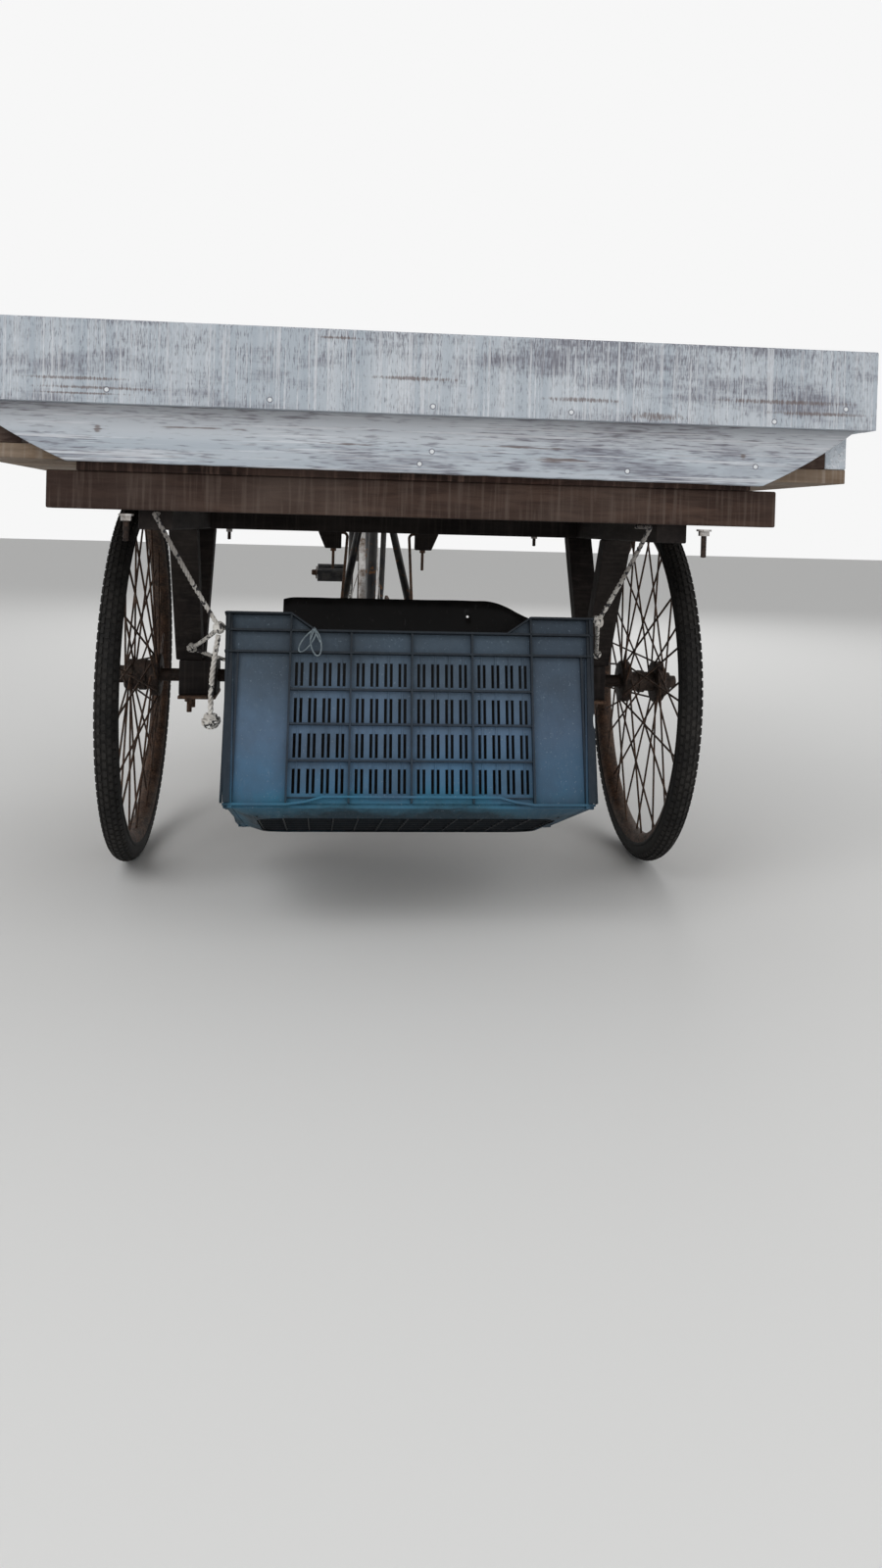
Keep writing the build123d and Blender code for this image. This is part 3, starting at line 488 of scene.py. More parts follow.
def greasySteel(name="greasy_steel"):
    clean, greased, bare = metalLook[name]
    made = Finish(name, roughness=0.55, metallic=0.35)
    grease = made.noise(30, detail=5, roughness=0.6)
    fine = made.noise(320, detail=2, shift=6)
    tone = made.mix(made.curve(grease, (0.38, 0.0), (0.66, 1.0)), clean, greased)
    tone = made.mix(made.curve(fine, (0.56, 0.0), (0.72, 0.6)), tone, bare)
    return made.done(tone, made.between(grease, 0.3, 0.7, 0.38, 0.8), made.bump(grease, 0.001, 0.5))


def oldChrome(name="old_chrome"):
    clean, pitted, stained = metalLook[name]
    made = Finish(name, roughness=0.18, metallic=1.0)
    pit = made.noise(420, detail=2)
    stain = made.noise(26, detail=5, shift=3)
    tone = made.mix(made.curve(pit, (0.62, 0.0), (0.70, 1.0)), clean, pitted)
    tone = made.mix(made.curve(stain, (0.56, 0.0), (0.70, 0.85)), tone, stained)
    pitRough = made.curve(pit, (0.60, 0.20), (0.70, 0.7))
    stainRough = made.curve(stain, (0.54, 0.16), (0.70, 0.65))
    return made.done(tone, made.math("MAXIMUM", pitRough, stainRough), made.bump(pit, 0.0002, 0.4))


def blackPaint(name="black_paint"):
    clean, dusty, rusty = metalLook[name]
    made = Finish(name, roughness=0.45)
    chip = made.noise(48, detail=7, roughness=0.7)
    dust = made.noise(11, detail=4, shift=5)
    rust = made.curve(chip, (0.585, 0.0), (0.62, 1.0))
    tone = made.mix(made.curve(dust, (0.40, 0.0), (0.80, 0.55)), clean, dusty)
    tone = made.mix(rust, tone, rusty)
    rough = made.mix(rust, (0.42, 0.42, 0.42), (0.85, 0.85, 0.85))
    return made.done(tone, rough, made.bump(rust, 0.0004, 0.5))


# Rubber, plastics, cord and leather
softLook = {
    # name: clean tone, then the tones of dust, wear, dirt, painted shade and flecks
    "tyre_rubber": ((0.0042, 0.0040, 0.0040), (0.024, 0.022, 0.020), (0.045, 0.041, 0.037)),
    "tread_rubber": ((0.0042, 0.0040, 0.0040), (0.042, 0.039, 0.036), (0.045, 0.041, 0.037)),
    "grip_rubber": ((0.018, 0.018, 0.019), (0.12, 0.11, 0.10)),
    "liner_plastic": ((0.0085, 0.0082, 0.0085), (0.018, 0.017, 0.017), (0.07, 0.07, 0.07)),
    "rope_fibre": ((0.70, 0.68, 0.64), (0.34, 0.31, 0.28), (0.085, 0.072, 0.066), (0.018, 0.018, 0.022)),
    "string_fibre": ((0.20, 0.24, 0.26), (0.10, 0.125, 0.145)),
    "saddle_leather": ((0.035, 0.020, 0.013), (0.13, 0.078, 0.048)),
}


def tyreRubber(name):
    clean, worn, dusty = softLook[name]
    made = Finish(name, roughness=0.85)
    dust = made.noise(16, detail=6, roughness=0.68)
    fine = made.noise(240, detail=3, shift=7)
    tone = made.mix(made.curve(dust, (0.36, 0.05), (0.70, 0.75)), clean, worn)
    tone = made.mix(made.curve(fine, (0.54, 0.0), (0.74, 0.4)), tone, dusty)
    return made.done(tone, made.between(dust, 0.3, 0.7, 0.68, 0.9), made.bump(fine, 0.0004, 0.5))


def gripRubber(name="grip_rubber"):
    made = Finish(name, roughness=0.6)
    dust = made.noise(60, detail=5)
    tone = made.mix(made.curve(dust, (0.45, 0.0), (0.75, 0.5)), *softLook[name])
    return made.done(tone, None, made.bump(made.noise(500, detail=2), 0.0003, 0.4))


crateLook = {
    # share of the height: tone of the plastic, dirt and painted shade at the foot, teal low down, darker and
    # greyer towards the rim
    "tones": (
        (0.00, (0.008, 0.026, 0.040)),
        (0.03, (0.020, 0.082, 0.125)),
        (0.07, (0.026, 0.125, 0.205)),
        (0.14, (0.046, 0.122, 0.210)),
        (0.38, (0.073, 0.124, 0.196)),
        (0.68, (0.062, 0.094, 0.134)),
        (0.86, (0.042, 0.062, 0.084)),
        (1.00, (0.032, 0.046, 0.060)),
    ),
    # dirt and painted shade: the tone that the ribs and the base grid are darkened towards
    "dirt": (0.0045, 0.0062, 0.0085),
    "chalk": (0.17, 0.22, 0.27),
    "patchTone": (0.030, 0.042, 0.058),
    # how much of the plastic's own tone the ribs and the base grid keep under painted shade and dirt
    "rib": 0.20,
    "base": 0.04,
    # the corner tone is painted shade on the end walls, which turn away from the light
    "corner": (0.55, 0.2775, 0.2840),  # share, and how far out it begins and is full
    "cornerTone": (0.010, 0.018, 0.028),
    "rightSide": (0.34, 0.16, 0.21),
    "rightTone": (0.024, 0.034, 0.052),
    "scratch": (0.2945, 0.150, 0.0022, 0.013),  # place across and up, half width, half height
    "scratchTone": (0.60, 0.63, 0.65),
}


def cratePlastic(name="crate_plastic", shade=1.0):
    # under a shade of 1 it is darkened towards the dirt tone: painted shade and dirt
    look = crateLook
    made = Finish(name, roughness=0.55)
    patch = made.noise(8, detail=5, roughness=0.62)
    scuff = made.noise(120, (1, 1, 0.35), detail=5, roughness=0.7, shift=3)
    speck = made.noise(300, detail=1, shift=9)
    origin = tuple(cratePlace.translation)
    up = made.along(origin, tuple(crateUp))
    side = made.along(origin, (1, 0, 0))
    cloudy = made.math("MULTIPLY", made.math("SUBTRACT", patch, 0.5), 0.32)
    share = made.math("ADD", made.math("MULTIPLY", up, 1 / crateShape["height"]), cloudy)
    tone = made.curve(share, *look["tones"])
    tone = made.mix(made.curve(patch, (0.44, 0.0), (0.70, 0.5)), tone, look["patchTone"])
    # painted shade on the end walls
    strength, start, stop = look["corner"]
    outer = made.between(made.math("ABSOLUTE", side), start, stop)
    tone = made.mix(made.math("MULTIPLY", outer, strength), tone, look["cornerTone"])
    strength, start, stop = look["rightSide"]
    tone = made.mix(made.between(side, start, stop, 0.0, strength), tone, look["rightTone"])
    tone = made.mix(made.curve(scuff, (0.56, 0.0), (0.78, 0.26)), tone, look["chalk"])
    tone = made.mix(made.curve(speck, (0.70, 0.0), (0.74, 0.45)), tone, look["chalk"])
    # painted shade and dirt on the ribs and the base grid
    if shade < 1:
        tone = made.mix(1 - shade, tone, look["dirt"])
    x, high, halfX, halfHigh = look["scratch"]
    across = made.math("MULTIPLY", made.math("SUBTRACT", side, x), 1 / halfX)
    along = made.math("MULTIPLY", made.math("SUBTRACT", up, high), 1 / halfHigh)
    off = made.math("ADD", made.math("MULTIPLY", across, across), made.math("MULTIPLY", along, along))
    scratched = made.between(made.math("ADD", off, made.math("MULTIPLY", scuff, 1.2)), 1.5, 1.2)
    tone = made.mix(scratched, tone, look["scratchTone"])
    return made.done(tone, made.between(scuff, 0.35, 0.7, 0.48, 0.75), made.bump(scuff, 0.0005, 0.3))


def linerPlastic(name="liner_plastic"):
    clean, dusty, scratched = softLook[name]
    made = Finish(name, roughness=0.45)
    dust = made.noise(24, (1, 1, 0.5), detail=5)
    scratch = made.noise(160, (1, 1, 0.1), detail=2, shift=4)
    tone = made.mix(made.curve(dust, (0.40, 0.0), (0.80, 0.6)), clean, dusty)
    tone = made.mix(made.curve(scratch, (0.66, 0.0), (0.74, 0.3)), tone, scratched)
    return made.done(tone, made.between(dust, 0.3, 0.7, 0.4, 0.62), made.bump(dust, 0.001, 0.25))


def ropeFibre(name="rope_fibre"):
    clean, dirty, shaded, flecked = softLook[name]
    made = Finish(name, roughness=0.88)
    fleck = made.noise(115, (1, 1, 0.8), detail=1)
    dirt = made.noise(34, detail=4, shift=6)
    tone = made.mix(made.curve(dirt, (0.38, 0.0), (0.68, 0.8)), clean, dirty)
    high = made.between(made.axis("Z"), 0.50, 0.60, 0.0, 0.72)  # painted shade: darker near the deck above
    tone = made.mix(high, tone, shaded)
    tone = made.mix(made.curve(fleck, (0.55, 0.0), (0.60, 0.95)), tone, flecked)
    return made.done(tone, None, made.bump(made.noise(700, detail=2, shift=2), 0.0004, 0.6))


def stringFibre(name="string_fibre"):
    made = Finish(name, roughness=0.85)
    dirt = made.noise(70, detail=3)
    return made.done(made.mix(made.curve(dirt, (0.40, 0.0), (0.65, 1.0)), *softLook[name]))


def saddleLeather(name="saddle_leather"):
    made = Finish(name, roughness=0.5)
    grain = made.noise(330, detail=3)
    wear = made.noise(18, detail=5, shift=5)
    tone = made.mix(made.curve(wear, (0.42, 0.0), (0.70, 0.9)), *softLook[name])
    return made.done(tone, made.between(wear, 0.35, 0.7, 0.6, 0.36), made.bump(grain, 0.0006, 0.5))


finishes = {
    "upper_board": paintedBoard("upper_board", "Z", 0.0),
    "lower_board": paintedBoard("lower_board", "X", 4.7),
    "painted_side": paintedBoard("painted_side", "Y", 9.1),
    "painted_front": paintedBoard("painted_front", "X", 2.3),
    "old_wood": bareWood("old_wood"),
    "dark_wood_y": bareWood("dark_wood", "Y"),
    "old_wood_z": bareWood("old_wood", "Z"),
    "deck_wood": bareWood("deck_wood", "X", 0.3),
    "batten_wood": bareWood("batten_wood", "X", 0.9),
    "dark_wood": bareWood("dark_wood"),
    "dark_wood_z": bareWood("dark_wood", "Z"),
    "rusty_steel": rustySteel("rusty_steel"),
    "dark_rust": rustySteel("dark_rust"),
    "dark_hub": rustySteel("dark_hub"),
    "dull_steel": dullSteel(),
    "greasy_steel": greasySteel(),
    "old_chrome": oldChrome(),
    "black_paint": blackPaint(),
    "string_fibre": stringFibre(),
    "tyre_rubber": tyreRubber("tyre_rubber"),
    "tread_rubber": tyreRubber("tread_rubber"),
    "grip_rubber": gripRubber(),
    "crate_plastic": cratePlastic(),
    # the crate plastic darkened with painted shade and dirt, for the ribs and for the base grid
    "crate_rib": cratePlastic("crate_rib", crateLook["rib"]),
    "crate_base": cratePlastic("crate_base", crateLook["base"]),
    "liner_plastic": linerPlastic(),
    "rope_fibre": ropeFibre(),
    "saddle_leather": saddleLeather(),
}
print("finishes made:", len(finishes))


# Mesh building: points and faces are heaped up, then made into one object
class Heap:
    def __init__(self):
        self.points = []
        self.faces = []

    def add(self, points, faces, place=None):
        base = len(self.points)
        self.points += [place @ Vector(p) if place else Vector(p) for p in points]
        self.faces += [[base + i for i in face] for face in faces]

    def corners(self, points, place=None):
        # four corners below and the four above them
        sides = [(k, (k + 1) % 4, (k + 1) % 4 + 4, k + 4) for k in range(4)]
        self.add(points, [(3, 2, 1, 0), (4, 5, 6, 7), *sides], place)

    def box(self, low, high, place=None):
        (x0, y0, z0), (x1, y1, z1) = low, high
        points = [(x, y, z) for z in (z0, z1) for x, y in ((x0, y0), (x1, y0), (x1, y1), (x0, y1))]
        self.corners(points, place)

    def loft(self, rings, closed=False, place=None):
        # skins rings of the same number of points, and closes both ends unless the last meets the first
        count = len(rings[0])
        faces = []
        for i in range(len(rings) if closed else len(rings) - 1):
            j = (i + 1) % len(rings)
            faces += [
                (i * count + k, i * count + (k + 1) % count, j * count + (k + 1) % count, j * count + k)
                for k in range(count)
            ]
        if not closed:
            faces.append(tuple(range(count))[::-1])
            faces.append(tuple((len(rings) - 1) * count + k for k in range(count)))
        self.add([p for ring in rings for p in ring], faces, place)

    def prism(self, outline, start, end, place=None):
        # outline is (y, z) pairs, stretched along X
        self.loft([[(x, y, z) for y, z in outline] for x in (start, end)], place=place)

    def tube(self, path, radius, sides=10, closed=False):
        path = [Vector(p) for p in path]
        radii = radius if isinstance(radius, (list, tuple)) else [radius] * len(path)
        rings = []
        side = None
        for i, point in enumerate(path):
            before = path[i - 1] if i or closed else point
            after = path[(i + 1) % len(path)] if i < len(path) - 1 or closed else point
            run = (after - before).normalized()
            if side is None:
                side = run.orthogonal().normalized()
            side = (side - run * side.dot(run)).normalized()
            across = run.cross(side)
            turns = (2 * math.pi * k / sides for k in range(sides))
            rings.append([point + (side * math.cos(a) + across * math.sin(a)) * radii[i] for a in turns])
        self.loft(rings, closed)

    def lathe(self, profile, turns, place, closed=False, start=0.0, sweep=2 * math.pi):
        # profile is (along X, radius) pairs, turned about the X axis of place
        whole = abs(sweep - 2 * math.pi) < 1e-6
        count = turns if whole else turns + 1
        rings = []
        for i in range(count):
            a = start + sweep * i / turns
            rings.append([(x, r * math.cos(a), r * math.sin(a)) for x, r in profile])
        size = len(profile)
        faces = []
        for i in range(count if whole else count - 1):
            j = (i + 1) % count
            for k in range(size if closed else size - 1):
                m = (k + 1) % size
                faces.append((i * size + k, j * size + k, j * size + m, i * size + m))
        if closed and not whole:
            faces.append(tuple(range(size)))
            faces.append(tuple((count - 1) * size + k for k in range(size))[::-1])
        self.add([p for ring in rings for p in ring], faces, place)

    def make(self, name, finish, body, slot, replaces=(), smoothDeg=40, bevel=0.0):
        mesh = bpy.data.meshes.new(name)
        mesh.from_pydata(self.points, [], self.faces)
        mesh.validate()
        piece = bpy.data.objects.new(name, mesh)
        bpy.context.scene.collection.objects.link(piece)
        mesh.materials.append(finishes[finish])
        if bevel:
            addBevel(piece, bevel)
        if smoothDeg:
            mesh.polygons.foreach_set("use_smooth", [True] * len(mesh.polygons))
            mesh.set_sharp_from_angle(angle=math.radians(smoothDeg))
        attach(piece, body)
        if replaces:
            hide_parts(*replaces)
        return piece


def addBevel(piece, width):
    bevel = piece.modifiers.new("edges", "BEVEL")
    bevel.width = width
    bevel.segments = 2
    bevel.limit_method = "ANGLE"
    bevel.angle_limit = math.radians(35)
    bevel.harden_normals = False


def moved(*offset):
    return Matrix.Translation(offset)


def mirrored(line):
    # the same (x, other) pairs on the other side, from the last back to the first
    return [(-x, other) for x, other in reversed(line)]


# Frame pieces whose shape stays: finish, and worn edges on the wood
kept = {
    # node: finish, edge width
    "tail_board_upper": ("upper_board", 0.0025),
    "side_boards": ("painted_side", 0.0025),
    "front_board": ("painted_front", 0.0025),
    "side_rails": ("painted_side", 0.0020),
    "front_rail": ("painted_front", 0.0020),
    "deck_posts": ("old_wood_z", 0.0020),
    "post_cleats": ("old_wood_z", 0.0020),
    "floor_planks": ("deck_wood", 0.0025),
    # the pieces under the deck take the dark wood with painted shade
    "sills": ("dark_wood_y", 0.0025),
    "tail_beam": ("old_wood", 0.0025),
    "tail_batten": ("batten_wood", 0.0020),
    "cross_beams": ("dark_wood", 0.0025),
    "struts": ("dark_wood_z", 0.0025),
    "axle_blocks": ("dark_wood", 0.0025),
    "hanger_blocks": ("dark_wood", 0.0025),
    "block_plates": ("rusty_steel", 0.0010),
    "block_bolts": ("rusty_steel", 0.0),
    "hanger_rods": ("rusty_steel", 0.0),
    "cycle_frame": ("black_paint", 0.0),
    "seat_post": ("dull_steel", 0.0),
    "rear_axle": ("dark_hub", 0.0006),
    "fork": ("black_paint", 0.0),
    "handlebar": ("old_chrome", 0.0),
}
weldGap = 0.00001


def dressFrame():
    for node, (finish, edge) in kept.items():
        piece = frame["nodes"][node]
        piece.data.materials.clear()
        piece.data.materials.append(finishes[finish])
        weld = piece.modifiers.new("weld", "WELD")
        weld.merge_threshold = weldGap
        if edge:
            addBevel(piece, edge)


dressFrame()
print("frame pieces dressed:", len(kept))

# Wheels: roadster tyres with small tread blocks, steel rims, crossed spokes and flanged hubs
wheelShape = {
    "turns": 144,
    "tyreHalf": 0.0215,
    "wallDeg": 128,  # how far round the casing goes on each side
    "footHalf": 0.0150,
    "footDeep": 0.004,
    "bead": ((0.0172, 0.3205), (0.0192, 0.3225), (0.0198, 0.3255), (0.0188, 0.3280)),
    "treadHigh": 0.0022,
    "treadBlocks": 130,
    "treadRows": (
        # place across, width, share of the pitch, shift in pitches
        (0.0, 0.0062, 0.66, 0),
        (0.0083, 0.0056, 0.66, 0.5),
        (-0.0083, 0.0056, 0.66, 0.5),
        (0.0152, 0.0058, 0.72, 0),
        (-0.0152, 0.0058, 0.72, 0),
    ),
    "rimOuter": 0.318,
    "rimInner": 0.303,
    "rimHalf": 0.017,
    "spokes": 36,
    "crossDeg": 60,  # from a spoke's hole in the hub to its hole in the rim
    "spokeRadius": 0.0020,
    "spokeHoleIn": 0.004,  # from the flange's edge
    "spokeBeside": 0.28,  # share of the flange's thickness
    "rimHoleOut": 0.004,
    "rimHoleLead": 0.00135,
    "nippleRadius": 0.0021,
    "nippleLength": 0.014,
    "headRadius": 0.001995,
    "headEnds": (0.002, 0.0062),
}
hubShape = {
    # flanges are place along the axle and radius; capDeg is how far round the barrel a small cap sits
    "left": {
        "flanges": ((0.035, 0.0415), (-0.016, 0.030)), "thick": 0.018, "barrel": 0.0285, "band": 0.0022,
        "end": 0.017, "half": 0.046, "bore": 0.01255, "finish": "dark_hub", "capDeg": 96,
    },
    "right": {
        "flanges": ((-0.035, 0.0415), (0.035, 0.0415)), "thick": 0.018, "barrel": 0.0195, "band": 0.003,
        "end": 0.017, "half": 0.046, "bore": 0.0125, "finish": "dark_hub",
    },
    "front": {
        "flanges": ((-0.026, 0.020), (0.026, 0.020)), "thick": 0.005, "barrel": 0.012, "band": 0.003,
        "end": 0.014, "half": 0.044, "bore": 0.00505, "finish": "dull_steel",
    },
}


def makeTyre(name, place, body):
    look = wheelShape
    high = look["treadHigh"]
    half = look["tyreHalf"] - high - 0.0001
    mid = tyreRadius - look["tyreHalf"]
    steps = 18
    profile = []
    for i in range(steps + 1):
        a = math.radians(look["wallDeg"] * (2 * i / steps - 1))
        profile.append((half * math.sin(a), mid + half * math.cos(a)))
    foot = look["rimOuter"] - look["footDeep"]
    profile += [(look["footHalf"], foot), (-look["footHalf"], foot)]
    heap = Heap()
    heap.lathe(profile, look["turns"], place, closed=True)
    for bead in (mirrored(look["bead"]), look["bead"]):
        heap.lathe(bead, 96, place)
    heap.make(name + "_tyre_cased", "tyre_rubber", body, "tyre_rubber", [name + "_tyre"], smoothDeg=50)
    blocks = Heap()
    count = look["treadBlocks"]
    for x, width, share, shift in look["treadRows"]:
        lean = math.asin(x / half)
        crown = mid + half * math.cos(lean)
        long = 2 * math.pi * tyreRadius / count * share
        for i in range(count):
            turn = Matrix.Rotation(2 * math.pi * (i + shift) / count, 4, "X")
            out = turn @ moved(x, 0, crown) @ Matrix.Rotation(lean, 4, "Y")
            blocks.box((-width / 2, -long / 2, -0.001), (width / 2, long / 2, high), place @ out)
    blocks.make(name + "_tread_blocks", "tread_rubber", body, "tyre_rubber")


def makeRim(name, place, body):
    outer, inner, half = wheelShape["rimOuter"], wheelShape["rimInner"], wheelShape["rimHalf"]
    # from the well out over the hooked edge, then round the belly
    hook = [(0.010, outer - 0.006), (half - 0.003, outer), (half - 0.0018, outer + 0.0032)]
    hook += [(half + 0.0004, outer + 0.0030), (half, outer)]
    belly = [(half - 0.0012, outer - 0.0070), (0.0120, inner + 0.0035), (0.0080, inner + 0.0005)]
    heap = Heap()
    profile = mirrored(hook) + hook + belly + [(0, inner)] + mirrored(belly)
    heap.lathe(profile, wheelShape["turns"], place, closed=True)
    heap.make(name + "_rim_rolled", "dark_rust", body, "rusty_steel", [name + "_rim"], smoothDeg=50)


def makeSpokes(name, place, body):
    look, hub = wheelShape, hubShape[name]
    heap = Heap()
    perKind = look["spokes"] // 4
    step = 360 / perKind
    center, inner = place.translation, look["rimInner"]
    for offset, edge in hub["flanges"]:
        side = 1 if offset > 0 else -1
        near = edge - look["spokeHoleIn"]
        for lead in (-1, 1):
            startX = offset + side * lead * look["spokeBeside"] * hub["thick"]
            endX = side * (look["rimHoleOut"] + lead * look["rimHoleLead"])
            for i in range(perKind):
                hubDeg = i * step + (step / 2 if lead > 0 else 0) + (step / 4 if side > 0 else 0)
                hubTurn, rimTurn = math.radians(hubDeg), math.radians(hubDeg - lead * look["crossDeg"])
                start = center + Vector((startX, near * math.cos(hubTurn), near * math.sin(hubTurn)))
                end = center + Vector((endX, inner * math.cos(rimTurn), inner * math.sin(rimTurn)))
                run = (end - start).normalized()
                heap.tube([start, end - run * 0.010], look["spokeRadius"], 8)
                heap.tube([end - run * look["nippleLength"], end + run * 0.001], look["nippleRadius"], 8)
                heap.tube([start + run * at for at in look["headEnds"]], look["headRadius"], 8)
    heap.make(name + "_spokes_laced", "dark_rust", body, "rusty_steel", [name + "_spokes"], smoothDeg=60)


hubEdges = {
    "end": 0.002,
    "outside": 0.0035,  # a flange is rounded outside and crisp inside
    "inside": 0.0008,
    "bandHalf": 0.007,
    "bandEdge": 0.001,
    "capHalf": 0.0075,
    "capHigh": 0.0042,
    "capEdge": (0.0013, 0.0012),
}


def makeHub(name, place, body):
    look = hubShape[name]
    half, end, barrel, thick = (look[key] for key in ("half", "end", "barrel", "thick"))
    broken = hubEdges["end"]
    soft, crisp = min(hubEdges["outside"], thick / 4), hubEdges["inside"]
    profile = [(-half, look["bore"]), (-half, end - broken), (-half + broken, end)]
    for (offset, radius), (before, after) in zip(sorted(look["flanges"]), ((end, barrel), (barrel, end))):
        first, last = (soft, crisp) if offset < 0 else (crisp, soft)
        low, high = offset - thick / 2, offset + thick / 2
        profile += [(low, before), (low, radius - first)]
        profile += [(low + first * 0.4, radius - first * 0.4), (low + first, radius)]
        profile += [(high - last, radius), (high - last * 0.4, radius - last * 0.4)]
        profile += [(high, radius - last), (high, after)]
    profile += [(half - broken, end), (half, end - broken), (half, look["bore"])]
    heap = Heap()
    heap.lathe(profile, 64, place, closed=True)
    middle = sum(offset for offset, _ in look["flanges"]) / 2
    raised = barrel + look["band"]
    edge = [(hubEdges["bandHalf"] - hubEdges["bandEdge"], raised), (hubEdges["bandHalf"], barrel)]
    band = [(middle + x, radius) for x, radius in mirrored(edge) + edge]
    heap.lathe(band, 48, place)
    if "capDeg" in look:
        wide, high = hubEdges["capHalf"], hubEdges["capHigh"]
        back, down = hubEdges["capEdge"]
        cap = [(-wide, -0.001), (wide, -0.001), (wide, high - down)]
        cap += [(wide - back, high), (-wide + back, high), (-wide, high - down)]
        turn = Matrix.Rotation(math.radians(look["capDeg"]), 4, "X")
        heap.prism(cap, -wide, wide, place @ turn @ moved(middle, 0, barrel))
    heap.make(name + "_hub_turned", look["finish"], body, "dull_steel", [name + "_hub"])


def makeWheels():
    for name in hubShape:
        place, body = Matrix.Translation(nodeCenter(name + "_tyre")), bodyOf[name + "_tyre"]
        for makePart in (makeTyre, makeRim, makeSpokes, makeHub):
            makePart(name, place, body)


makeWheels()
print("wheels made")

# Crate: slotted panels between ribs, plain corner panels, a dipped rim and a stepped skirt
def crateHalf(v):
    spread = crateShape["taper"] * (1 - v / crateShape["height"])
    reach = crateShape["ribReach"]
    return crateShape["length"] / 2 - reach - spread, crateShape["width"] / 2 - reach - spread


def wallPoint(side, u, v, n):
    # u runs along the wall, v up it and n out of it
    halfX, halfY = crateHalf(v)
    return {
        "near": (u, -(halfY + n), v),
        "far": (-u, halfY + n, v),
        "right": (halfX + n, u, v),
        "left": (-(halfX + n), -u, v),
    }[side]


def wallBar(heap, side, u0, u1, v0, v1, n0, n1, v2=None, v3=None):
    # a bar on the wall; v2 and v3 lift its far end for a sloping one
    v2 = v0 if v2 is None else v2
    v3 = v1 if v3 is None else v3
    below = [(u0, v0, n1), (u1, v2, n1), (u1, v2, n0), (u0, v0, n0)]
    above = [(u0, v1, n1), (u1, v3, n1), (u1, v3, n0), (u0, v1, n0)]
    heap.corners([wallPoint(side, *corner) for corner in below + above], cratePlace)


def slottedWall(heap, side, half, cells):
    look = crateShape
    slots = []
    start = -cells * look["cellWidth"] / 2
    for cell in range(cells):
        for pair in range(4):
            u = start + cell * look["cellWidth"] + look["pairFirst"] + pair * look["pairPitch"]
            for k in range(2):
                first = u + k * (look["slotWidth"] + look["slotGap"])
                slots.append((first, first + look["slotWidth"]))
    rows = look["slotRows"]
    us = sorted({-half, half, *(u for slot in slots for u in slot)})
    bottom, top = look["baseHigh"] - look["sink"], look["height"] - look["dip"]
    vs = sorted({bottom, top, *(v for row in rows for v in row)})
    depth = (0.0, -look["wall"])
    points = []
    index = {}

    def isOpen(i, j):
        if not (0 <= i < len(us) - 1 and 0 <= j < len(vs) - 1):
            return True
        u, v = (us[i] + us[i + 1]) / 2, (vs[j] + vs[j + 1]) / 2
        return any(a < u < b for a, b in slots) and any(a < v < b for a, b in rows)

    def corner(i, j, k):
        # each corner is one point, shared by the faces round it; k is 0 outside and 1 inside
        if (i, j, k) not in index:
            index[(i, j, k)] = len(points)
            points.append(wallPoint(side, us[i], vs[j], depth[k]))
        return index[(i, j, k)]

    around = ((0, 0), (1, 0), (1, 1), (0, 1))
    beside = (
        # neighbour, the edge towards it from its first corner to its last
        ((0, -1), ((0, 0), (1, 0))),
        ((0, 1), ((1, 1), (0, 1))),
        ((-1, 0), ((0, 1), (0, 0))),
        ((1, 0), ((1, 0), (1, 1))),
    )
    faces = []
    for i in range(len(us) - 1):
        for j in range(len(vs) - 1):
            if isOpen(i, j):
                continue
            faces.append([corner(i + di, j + dj, 0) for di, dj in around])
            faces.append([corner(i + di, j + dj, 1) for di, dj in reversed(around)])
            for (di, dj), edge in beside:
                if isOpen(i + di, j + dj):
                    inside = [corner(i + a, j + b, 1) for a, b in edge]
                    faces.append(inside + [corner(i + a, j + b, 0) for a, b in reversed(edge)])
    heap.add(points, faces, cratePlace)
    # the raised line between the two slots of a pair, up to the rib above
    ribTops = [look["ribHeights"][2], *look["cellHeights"]]
    thin = look["lineHalf"]
    for (_, left), (right, _) in zip(slots[::2], slots[1::2]):
        u = (left + right) / 2
        for (low, _), top in zip(rows, ribTops):
            wallBar(heap, side, u - thin, u + thin, low - look["sink"], top, 0, look["lineOut"])


